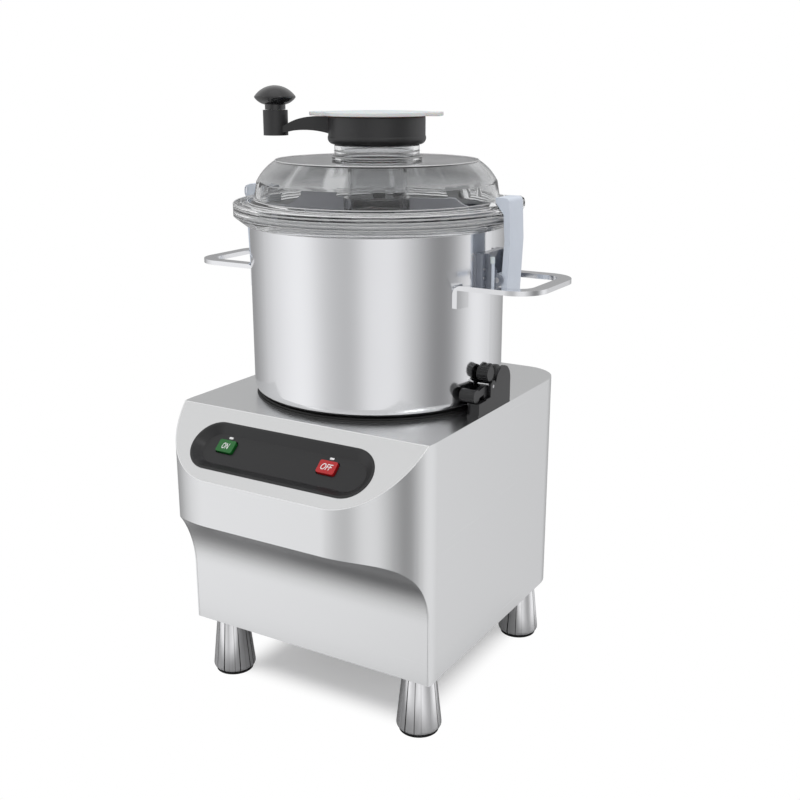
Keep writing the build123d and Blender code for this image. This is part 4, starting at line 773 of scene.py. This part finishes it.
def eased_copy(node, width, segments=2, sharp_degrees=28):
    """A finer piece for a node: the same shape with its sharp edges rounded."""
    shape = bmesh.new()
    shape.from_mesh(frame["nodes"][node].data)
    bmesh.ops.remove_doubles(shape, verts=shape.verts, dist=MERGE)
    bmesh.ops.dissolve_limit(
        shape, angle_limit=math.radians(FLAT_DEGREES), verts=shape.verts, edges=shape.edges, delimit=set()
    )
    corners = [
        edge
        for edge in shape.edges
        if len(edge.link_faces) == 2 and edge.calc_face_angle(0) > math.radians(sharp_degrees)
    ]
    bmesh.ops.bevel(
        shape,
        geom=corners,
        offset=width,
        offset_type="OFFSET",
        segments=segments,
        profile=0.5,
        affect="EDGES",
        clamp_overlap=True,
    )
    bmesh.ops.recalc_face_normals(shape, faces=shape.faces)
    mesh = bpy.data.meshes.new(f"{node}_eased")
    shape.to_mesh(mesh)
    shape.free()
    smooth(mesh, EASED_DEGREES)
    piece = new_piece(mesh.name, mesh, BODY_OF[node], finish_of(node))
    weigh = piece.modifiers.new("flat faces stay flat", "WEIGHTED_NORMAL")
    weigh.keep_sharp = True
    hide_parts(node)
    return piece


def lathe(name, outline, centre, body, finish):
    """A turned piece about a vertical axis, from a closed outline of radii and heights in millimetres."""
    shape = bmesh.new()
    loops = []
    middle = Vector((*centre, 0))
    for step in range(LATHE_TURNS):
        angle = 2 * math.pi * step / LATHE_TURNS
        side = Vector((math.cos(angle), math.sin(angle), 0))
        spots = [(middle + side * radius + Vector((0, 0, z))) * MM for radius, z in outline]
        loops.append([shape.verts.new(spot) for spot in spots])
    for step in range(LATHE_TURNS):
        here, after = loops[step], loops[(step + 1) % LATHE_TURNS]
        for corner in range(len(outline)):
            following = (corner + 1) % len(outline)
            shape.faces.new((here[corner], after[corner], after[following], here[following]))
    bmesh.ops.remove_doubles(shape, verts=shape.verts, dist=LATHE_MERGE)
    bmesh.ops.recalc_face_normals(shape, faces=shape.faces)
    mesh = bpy.data.meshes.new(name)
    shape.to_mesh(mesh)
    shape.free()
    smooth(mesh)
    return new_piece(name, mesh, body, finish)


def block(name, outline, thickness, place, body, finish, rounding):
    """A flat plate with eased edges: its outline and thickness in millimetres, placed by a matrix."""
    shape = bmesh.new()
    low = [shape.verts.new((x, y, 0)) for x, y in outline]
    high = [shape.verts.new((x, y, thickness)) for x, y in outline]
    shape.faces.new(list(reversed(low)))
    shape.faces.new(high)
    for corner in range(len(outline)):
        following = (corner + 1) % len(outline)
        shape.faces.new((low[corner], low[following], high[following], high[corner]))
    edges = [edge for edge in shape.edges if edge.calc_face_angle(0) > math.radians(BLOCK_DEGREES)]
    bmesh.ops.bevel(
        shape, geom=edges, offset=rounding, segments=2, profile=0.5, affect="EDGES", clamp_overlap=True
    )
    bmesh.ops.recalc_face_normals(shape, faces=shape.faces)
    shape.transform(Matrix.Scale(MM, 4) @ place)
    mesh = bpy.data.meshes.new(name)
    shape.to_mesh(mesh)
    shape.free()
    smooth(mesh, EASED_DEGREES)
    return new_piece(name, mesh, body, finish)


def plane_at(origin, across, up):
    """The matrix of a plane from its origin and its two directions."""
    across = Vector(across).normalized()
    up = Vector(up).normalized()
    out = across.cross(up)
    matrix = Matrix((across, up, out)).transposed().to_4x4()
    matrix.translation = Vector(origin)
    return matrix


def slope_spot(node):
    """The middle and height of a piece's face over the slope: across, up and out in millimetres."""
    points = [vertex.co / MM - SLOPE_CENTRE for vertex in frame["nodes"][node].data.vertices]
    top = max(point.dot(SLOPE_OUT) for point in points)
    face = [point for point in points if point.dot(SLOPE_OUT) > top - SLOPE_FLAT]
    across = [point.x for point in face]
    up = [point.dot(SLOPE_UP) for point in face]
    return (min(across) + max(across)) / 2, (min(up) + max(up)) / 2, top


def rounded_box(width, height, radius):
    """The outline of a rectangle with rounded corners, about its middle."""
    points = []
    for quarter in range(4):
        sign_x = 1 if quarter in (0, 3) else -1
        sign_y = 1 if quarter in (0, 1) else -1
        middle = ((width / 2 - radius) * sign_x, (height / 2 - radius) * sign_y)
        for step in range(CORNER_STEPS + 1):
            angle = math.pi / 2 * (quarter + step / CORNER_STEPS)
            points.append((middle[0] + radius * math.cos(angle), middle[1] + radius * math.sin(angle)))
    return points


def add_button(node):
    """A soft-edged button cap in place of a node."""
    across, up, out = slope_spot(node)
    foot = out - BUTTON_DROP - BUTTON_THICK
    base = SLOPE_CENTRE + Vector((across, 0, 0)) + SLOPE_UP * up + SLOPE_OUT * foot
    place = plane_at(base, (1, 0, 0), SLOPE_UP)
    slot_name = slot_of(node)
    outline = rounded_box(BUTTON_W, BUTTON_H, BUTTON_CORNER)
    finish = finishes()[slot_name]
    body = BODY_OF[node]
    cap = block(f"{node}_cap", outline, BUTTON_THICK, place, body, finish, BUTTON_EDGE)
    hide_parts(node)


def highlight_ring(name, radius, height, thick, body, finish):
    """A fine round bead about the bowl's axis, drawn as a line of painted highlight."""
    outline = [
        (
            radius + thick / 2 * math.cos(2 * math.pi * step / BEAD_SIDES),
            height + thick / 2 * math.sin(2 * math.pi * step / BEAD_SIDES),
        )
        for step in range(BEAD_SIDES)
    ]
    return lathe(name, outline, (0, BOWL_Y), body, finish)


def edge_bead(name, points, thick, body, finish):
    """A fine round hem along a sheet's edge, through points in millimetres."""
    curve = bpy.data.curves.new(f"{name}_line", "CURVE")
    curve.dimensions = "3D"
    curve.bevel_depth = thick / 2 * MM
    curve.bevel_resolution = BEAD_RESOLUTION
    curve.use_fill_caps = True
    line = curve.splines.new("POLY")
    line.points.add(len(points) - 1)
    for spot, point in zip(line.points, points):
        spot.co = (*(Vector(point) * MM), 1)
    draft = bpy.data.objects.new(f"{name}_draft", curve)
    bpy.context.scene.collection.objects.link(draft)
    mesh = bpy.data.meshes.new_from_object(draft.evaluated_get(bpy.context.evaluated_depsgraph_get()))
    bpy.data.objects.remove(draft)
    mesh.name = name
    smooth(mesh, BEAD_DEGREES)
    return new_piece(name, mesh, body, finish)


def corner_x(y, inset):
    """Half the housing's width at a depth, round the front corner, drawn in by a distance."""
    middle_y = FRONT_Y + CORNER_R
    if y >= middle_y:
        return HALF_W - inset
    return HALF_W - CORNER_R + math.sqrt(max(0.0, (CORNER_R - inset) ** 2 - (y - middle_y) ** 2))


def housing_hems():
    """The lines of the housing's folds: the crease, and the edges of the slope and of the lip."""
    inset = HEM_THICK / 2
    front = FRONT_Y + inset
    crease_y = FRONT_Y + SLOPE_RUN
    half = corner_x(crease_y, inset)
    crease = [(side * half, crease_y, TOP_Z - inset) for side in (-1, 1)]
    shares = [step / HEM_STEPS for step in range(HEM_STEPS + 1)]
    depths = [front + (crease_y - front) * (1 - math.cos(math.pi / 2 * share)) for share in shares]
    fall = SLOPE_DROP / SLOPE_RUN
    right = [(corner_x(y, inset), y, TOP_Z - (crease_y - y) * fall - inset) for y in depths]
    slope = [(-x, y, z) for x, y, z in reversed(right)] + right
    arc_z = LIP_Z - math.sqrt(RECESS_R**2 - (FRONT_Y - ARC_Y) ** 2)
    start = math.atan2(LIP_Z - arc_z, FRONT_Y - ARC_Y)
    fold = []
    for share in shares:
        angle = start * (1 - share)
        y = max(front, ARC_Y + RECESS_R * math.cos(angle) + inset)
        fold.append((corner_x(y, inset), y, arc_z + RECESS_R * math.sin(angle) + inset))
    fold.append((fold[-1][0], fold[-1][1], LEG_H + inset))
    lip = [(-x, y, z) for x, y, z in reversed(fold)] + fold
    return {"hem_crease": crease, "hem_slope": slope, "hem_lip": lip}


def lettering(word, node, width, height):
    """A slanted white word on a button."""
    curve = bpy.data.curves.new(f"{word}_letters", "FONT")
    curve.body = word.upper()
    curve.shear = LETTER_SLANT
    curve.extrude = LETTER_RISE / 2
    curve.resolution_u = LETTER_RESOLUTION
    draft = bpy.data.objects.new(f"{word}_draft", curve)
    bpy.context.scene.collection.objects.link(draft)
    mesh = bpy.data.meshes.new_from_object(draft.evaluated_get(bpy.context.evaluated_depsgraph_get()))
    bpy.data.objects.remove(draft)
    mesh.name = f"{word}_letters"
    corners = [vertex.co.copy() for vertex in mesh.vertices]
    low = Vector([min(corner[axis] for corner in corners) for axis in range(3)])
    high = Vector([max(corner[axis] for corner in corners) for axis in range(3)])
    across, up, out = slope_spot(node)
    origin = SLOPE_CENTRE + Vector((across, 0, 0)) + SLOPE_UP * up + SLOPE_OUT * (out - BUTTON_DROP)
    place = plane_at(origin, (1, 0, 0), SLOPE_UP)
    stretch = Matrix.Diagonal((width / (high.x - low.x), height / (high.y - low.y), 1, 1))
    middle = Matrix.Translation(-(low + high) / 2)
    mesh.transform(Matrix.Scale(MM, 4) @ place @ stretch @ middle)
    slot_name = "lamp_plastic"
    return new_piece(mesh.name, mesh, BODY_OF[node], finishes()[slot_name])


# Stage
def add_camera():
    """The photograph's camera."""
    camera = bpy.data.objects.new("camera", bpy.data.cameras.new("camera"))
    bpy.context.scene.collection.objects.link(camera)
    camera.data.lens = CAMERA_LENS
    camera.data.sensor_width = SENSOR_W
    azimuth, down = math.radians(CAMERA_AZIMUTH), math.radians(CAMERA_DOWN)
    look = Vector(
        (-math.sin(azimuth) * math.cos(down), math.cos(azimuth) * math.cos(down), -math.sin(down))
    )
    camera.location = Vector(CAMERA_PLACE) * MM
    camera.rotation_euler = look.to_track_quat("-Z", "Y").to_euler()
    camera.data.clip_start = CLIP_START
    camera.data.clip_end = CLIP_END
    bpy.context.scene.camera = camera


def add_world():
    """White to the camera, even grey for lighting, and soft vertical bands for reflections."""
    world = bpy.data.worlds.new("Studio")
    bpy.context.scene.world = world
    world.use_nodes = True
    tree = world.node_tree
    tree.nodes.clear()
    direction = tree.nodes.new("ShaderNodeTexCoord").outputs["Generated"]
    parts = split(tree, direction)
    turn = maths(tree, "ARCTAN2", parts["Y"], parts["X"])
    along = maths(tree, "MULTIPLY_ADD", turn, 0.5 / math.pi, 0.5)
    bands = tree.nodes.new("ShaderNodeValToRGB")
    ramp = bands.color_ramp
    ramp.interpolation = "B_SPLINE"
    while len(ramp.elements) < len(STUDIO_BANDS) + 1:
        ramp.elements.new(0.5)
    closing = STUDIO_BANDS + ((180, STUDIO_BANDS[0][1]),)
    for element, (azimuth, tone) in zip(ramp.elements, closing):
        element.position = (azimuth + 180) / 360
        element.color = (tone, tone, tone * BAND_BLUE, 1)
    tree.links.new(along, bands.inputs["Fac"])
    studio = bands.outputs["Color"]
    for tone, start, full in SURROUND:
        studio = mixed(tree, remap_between(tree, parts["Z"], start, full), studio, grey(tone))
    for azimuth, elevation, half_width, strength in WINDOWS:
        turned, raised = math.radians(azimuth), math.radians(elevation)
        level = math.cos(raised)
        towards = (level * math.cos(turned), level * math.sin(turned), math.sin(raised))
        facing = vector_maths(tree, "DOT_PRODUCT", direction, towards)["Value"]
        edge = math.cos(math.radians(half_width))
        inside = remap_between(tree, facing, edge - WINDOW_OUTSIDE, edge + WINDOW_INSIDE)
        studio = mixed(tree, inside, studio, grey(strength))
    paths = tree.nodes.new("ShaderNodeLightPath")
    reflected = mixed(tree, paths.outputs["Is Glossy Ray"], LIGHTING_GREY, studio)
    seen = maths(tree, "MAXIMUM", paths.outputs["Is Camera Ray"], paths.outputs["Is Transmission Ray"])
    shown = mixed(tree, seen, reflected, grey(1))
    background = tree.nodes.new("ShaderNodeBackground")
    tree.links.new(shown, background.inputs["Color"])
    output = tree.nodes.new("ShaderNodeOutputWorld")
    tree.links.new(background.outputs[0], output.inputs["Surface"])


def outside(tree, place, middle, half):
    """How far a spot of the floor lies outside a patch, across and along; two sockets."""
    gaps = []
    for axis, centre, reach in zip("XY", middle, half):
        distance = maths(tree, "ABSOLUTE", maths(tree, "SUBTRACT", place[axis], centre))
        gaps.append(maths(tree, "SUBTRACT", distance, reach))
    return gaps


def floor_material():
    """Pale floor: white to the camera but for the shadow, and open to far reflections."""
    material = bpy.data.materials.new("Studio floor")
    material.use_nodes = True
    tree = material.node_tree
    tree.nodes.clear()
    paths = tree.nodes.new("ShaderNodeLightPath")
    seen = maths(tree, "MAXIMUM", paths.outputs["Is Camera Ray"], paths.outputs["Is Transmission Ray"])
    lit = tree.nodes.new("ShaderNodeBsdfDiffuse")
    by_eye = maths(tree, "MULTIPLY_ADD", seen, FLOOR_SEEN_GREY - FLOOR_GREY, FLOOR_GREY)
    mirrored = maths(
        tree, "MULTIPLY_ADD", paths.outputs["Is Glossy Ray"], FLOOR_MIRRORED_GREY - FLOOR_GREY, by_eye
    )
    tree.links.new(mirrored, lit.inputs["Color"])
    glow = tree.nodes.new("ShaderNodeEmission")
    tree.links.new(maths(tree, "MULTIPLY", seen, FLOOR_GLOW), glow.inputs["Strength"])
    floor = tree.nodes.new("ShaderNodeAddShader")
    tree.links.new(lit.outputs[0], floor.inputs[0])
    tree.links.new(glow.outputs[0], floor.inputs[1])
    place = split(tree, tree.nodes.new("ShaderNodeNewGeometry").outputs["Position"])
    beyond = maths(tree, "MAXIMUM", *outside(tree, place, (MIRROR_X, 0), MIRROR_HALF))
    unshaded = maths(tree, "SMOOTH_MAX", *outside(tree, place, (0, SHADE_Y), SHADE_HALF), SHADE_ROUND)
    white = tree.nodes.new("ShaderNodeEmission")
    blend_out = maths(tree, "MULTIPLY", remap_between(tree, unshaded, SHADOW_START, SHADOW_END), seen)
    fading = tree.nodes.new("ShaderNodeMixShader")
    tree.links.new(blend_out, fading.inputs["Fac"])
    tree.links.new(floor.outputs[0], fading.inputs[1])
    tree.links.new(white.outputs[0], fading.inputs[2])
    far = remap_between(tree, beyond, MIRROR_START, MIRROR_END)
    opening = maths(tree, "MULTIPLY", far, paths.outputs["Is Glossy Ray"])
    clear = tree.nodes.new("ShaderNodeBsdfTransparent")
    mix = tree.nodes.new("ShaderNodeMixShader")
    tree.links.new(opening, mix.inputs["Fac"])
    tree.links.new(fading.outputs[0], mix.inputs[1])
    tree.links.new(clear.outputs[0], mix.inputs[2])
    output = tree.nodes.new("ShaderNodeOutputMaterial")
    tree.links.new(mix.outputs[0], output.inputs["Surface"])
    return material


def add_floor():
    """A plain floor under the legs."""
    mesh = bpy.data.meshes.new("floor")
    half = FLOOR_SIDE / 2
    corners = [(-half, -half, 0), (half, -half, 0), (half, half, 0), (-half, half, 0)]
    mesh.from_pydata(corners, [], [(0, 1, 2, 3)])
    floor = bpy.data.objects.new("floor", mesh)
    bpy.context.scene.collection.objects.link(floor)
    mesh.materials.append(floor_material())


def add_lamp(name, place, target, side, power):
    """A soft square lamp that reflections don't show."""
    light = bpy.data.lights.new(name, "AREA")
    light.shape = "SQUARE"
    light.size = side
    light.energy = power
    lamp = bpy.data.objects.new(name, light)
    bpy.context.scene.collection.objects.link(lamp)
    lamp.location = place
    lamp.rotation_euler = (Vector(target) - Vector(place)).to_track_quat("-Z", "Y").to_euler()
    lamp.visible_glossy = False


class CHOPPER_OT_stage(bpy.types.Operator):
    """Camera, studio surround, floor and lamp"""

    bl_idname = "chopper.stage"
    bl_label = "Stage"

    def execute(self, context):
        add_camera()
        add_world()
        add_floor()
        add_lamp("overhead lamp", LAMP_PLACE, LAMP_TARGET, LAMP_SIDE, LAMP_POWER)
        context.scene.view_settings.view_transform = "Standard"
        return {"FINISHED"}


class CHOPPER_OT_finishes(bpy.types.Operator):
    """The finish of every piece that keeps its frame shape"""

    bl_idname = "chopper.finishes"
    bl_label = "Finishes"

    def execute(self, context):
        for name, piece in frame["nodes"].items():
            piece.data.materials.clear()
            piece.data.materials.append(finish_of(name))
        return {"FINISHED"}


class CHOPPER_OT_housing(bpy.types.Operator):
    """Housing sheet and front panel with folded, eased edges, and hems along the folds in a brighter steel
    that paints their highlight lines
    """

    bl_idname = "chopper.housing"
    bl_label = "Housing"

    def execute(self, context):
        edge = context.scene.chopper_sizes.sheet_edge
        for node in ("housing_shell", "front_panel"):
            eased_copy(node, edge)
        # Hems in a brighter steel: round edges whose tone paints their highlight lines
        for name, points in housing_hems().items():
            edge_bead(name, points, HEM_THICK, "base", finishes()["highlight_steel"])
        return {"FINISHED"}


class CHOPPER_OT_controls(bpy.types.Operator):
    """Control dish, buttons, lamps and lettering"""

    bl_idname = "chopper.controls"
    bl_label = "Controls"

    def execute(self, context):
        sizes = context.scene.chopper_sizes
        eased_copy("control_dish", sizes.moulded_edge)
        for node in ("on_button", "off_button"):
            add_button(node)
        for node in ("on_lamp", "off_lamp"):
            eased_copy(node, sizes.moulded_edge / 2)
        height = sizes.letter_height / MM
        lettering("on", "on_button", ON_WIDTH, height)
        lettering("off", "off_button", OFF_WIDTH, height)
        return {"FINISHED"}


class CHOPPER_OT_seat(bpy.types.Operator):
    """Black lip round the bowl's seat, partly the black ring and partly painted shade of its shadow and
    reflection on the plate
    """

    bl_idname = "chopper.seat"
    bl_label = "Bowl seat"

    def execute(self, context):
        outer, inner, foot, top, slant = SEAT_SHADE_LIP
        outline = ((inner, foot), (outer, foot), (outer - slant, top), (inner, top))
        lathe("seat_shade_lip", outline, (0, BOWL_Y), "base", finishes()["rubber"])
        return {"FINISHED"}


class CHOPPER_OT_handles(bpy.types.Operator):
    """Bar handles with rolled edges"""

    bl_idname = "chopper.handles"
    bl_label = "Handles"

    def execute(self, context):
        for node in ("handle_right", "handle_left"):
            eased_copy(node, context.scene.chopper_sizes.bar_edge, segments=3)
        return {"FINISHED"}


class CHOPPER_OT_latches(bpy.types.Operator):
    """Latches and their brackets with moulded edges"""

    bl_idname = "chopper.latches"
    bl_label = "Latches"

    def execute(self, context):
        for node in ("latch_right", "latch_left", "latch_bracket_right", "latch_bracket_left"):
            eased_copy(node, context.scene.chopper_sizes.moulded_edge, segments=3)
        for side, label in ((1, "right"), (-1, "left")):
            for name, slot_name, thick, points in BRACKET_PARTS:
                turned = [(side * x, BOWL_Y + side * (y - BOWL_Y), z) for x, y, z in points]
                edge_bead(f"{name}_{label}", turned, thick, "bowl", finishes()[slot_name])
        return {"FINISHED"}


class CHOPPER_OT_lid(bpy.types.Operator):
    """Clear lid and its neck with moulded edges, and rings of painted highlight on the lid"""

    bl_idname = "chopper.lid"
    bl_label = "Lid"

    def execute(self, context):
        for node in ("lid_shell", "lid_neck", "feed_chute"):
            eased_copy(node, context.scene.chopper_sizes.clear_edge, segments=3, sharp_degrees=20)
        for name, radius, height, thick in LID_HIGHLIGHT_BEADS:
            highlight_ring(name, radius, height, thick, "lid", finishes()["bead"])
        return {"FINISHED"}


class CHOPPER_OT_crank(bpy.types.Operator):
    """Crank collar with its arm, and the feed lid"""

    bl_idname = "chopper.crank"
    bl_label = "Crank"

    def execute(self, context):
        for node in ("crank_ring", "feed_lid"):
            eased_copy(node, context.scene.chopper_sizes.moulded_edge, segments=3)
        return {"FINISHED"}


class CHOPPER_OT_catch(bpy.types.Operator):
    """Bowl catch: the cheeks and the lever"""

    bl_idname = "chopper.catch"
    bl_label = "Bowl catch"

    def execute(self, context):
        for node in ("catch_bracket", "catch_lever"):
            eased_copy(node, context.scene.chopper_sizes.moulded_edge, segments=3)
        low_x, high_x = GRIP_X
        for index in range(GRIP_COUNT):
            angle = math.radians(GRIP_START + GRIP_STEP * index)
            y = GRIP_MIDDLE[0] + GRIP_R * math.cos(angle)
            z = GRIP_MIDDLE[1] + GRIP_R * math.sin(angle)
            name = f"catch_grip_{index + 1}"
            rib = ((low_x, y, z), (high_x, y, z))
            edge_bead(name, rib, GRIP_THICK, "catch", finishes()["dark_plastic"])
        bar = ((low_x, *CATCH_BAR), (high_x, *CATCH_BAR))
        edge_bead("catch_bar", bar, CATCH_BAR_THICK, "catch", finishes()["highlight_steel"])
        return {"FINISHED"}


class CHOPPER_PT_panel(bpy.types.Panel):
    """Lists the steps that build the machine."""

    bl_label = "Food chopper"
    bl_space_type = "VIEW_3D"
    bl_region_type = "UI"
    bl_category = "Chopper"

    def draw(self, context):
        for step in STEPS:
            self.layout.operator(step.bl_idname)


STEPS = (
    CHOPPER_OT_stage,
    CHOPPER_OT_finishes,
    CHOPPER_OT_housing,
    CHOPPER_OT_controls,
    CHOPPER_OT_seat,
    CHOPPER_OT_handles,
    CHOPPER_OT_latches,
    CHOPPER_OT_lid,
    CHOPPER_OT_crank,
    CHOPPER_OT_catch,
)
CLASSES = (ChopperSizes, ChopperColours, *STEPS, CHOPPER_PT_panel)


def register():
    for item in CLASSES:
        bpy.utils.register_class(item)
    bpy.types.Scene.chopper_sizes = PointerProperty(type=ChopperSizes)
    bpy.types.Scene.chopper_colours = PointerProperty(type=ChopperColours)


def unregister():
    del bpy.types.Scene.chopper_colours
    del bpy.types.Scene.chopper_sizes
    for item in reversed(CLASSES):
        bpy.utils.unregister_class(item)


def main():
    """Builds every piece in order."""
    register()
    bpy.ops.chopper.stage()
    bpy.ops.chopper.finishes()
    bpy.ops.chopper.housing()
    bpy.ops.chopper.controls()
    bpy.ops.chopper.seat()
    bpy.ops.chopper.handles()
    bpy.ops.chopper.latches()
    bpy.ops.chopper.lid()
    bpy.ops.chopper.crank()
    bpy.ops.chopper.catch()


if __name__ == "__main__":
    main()
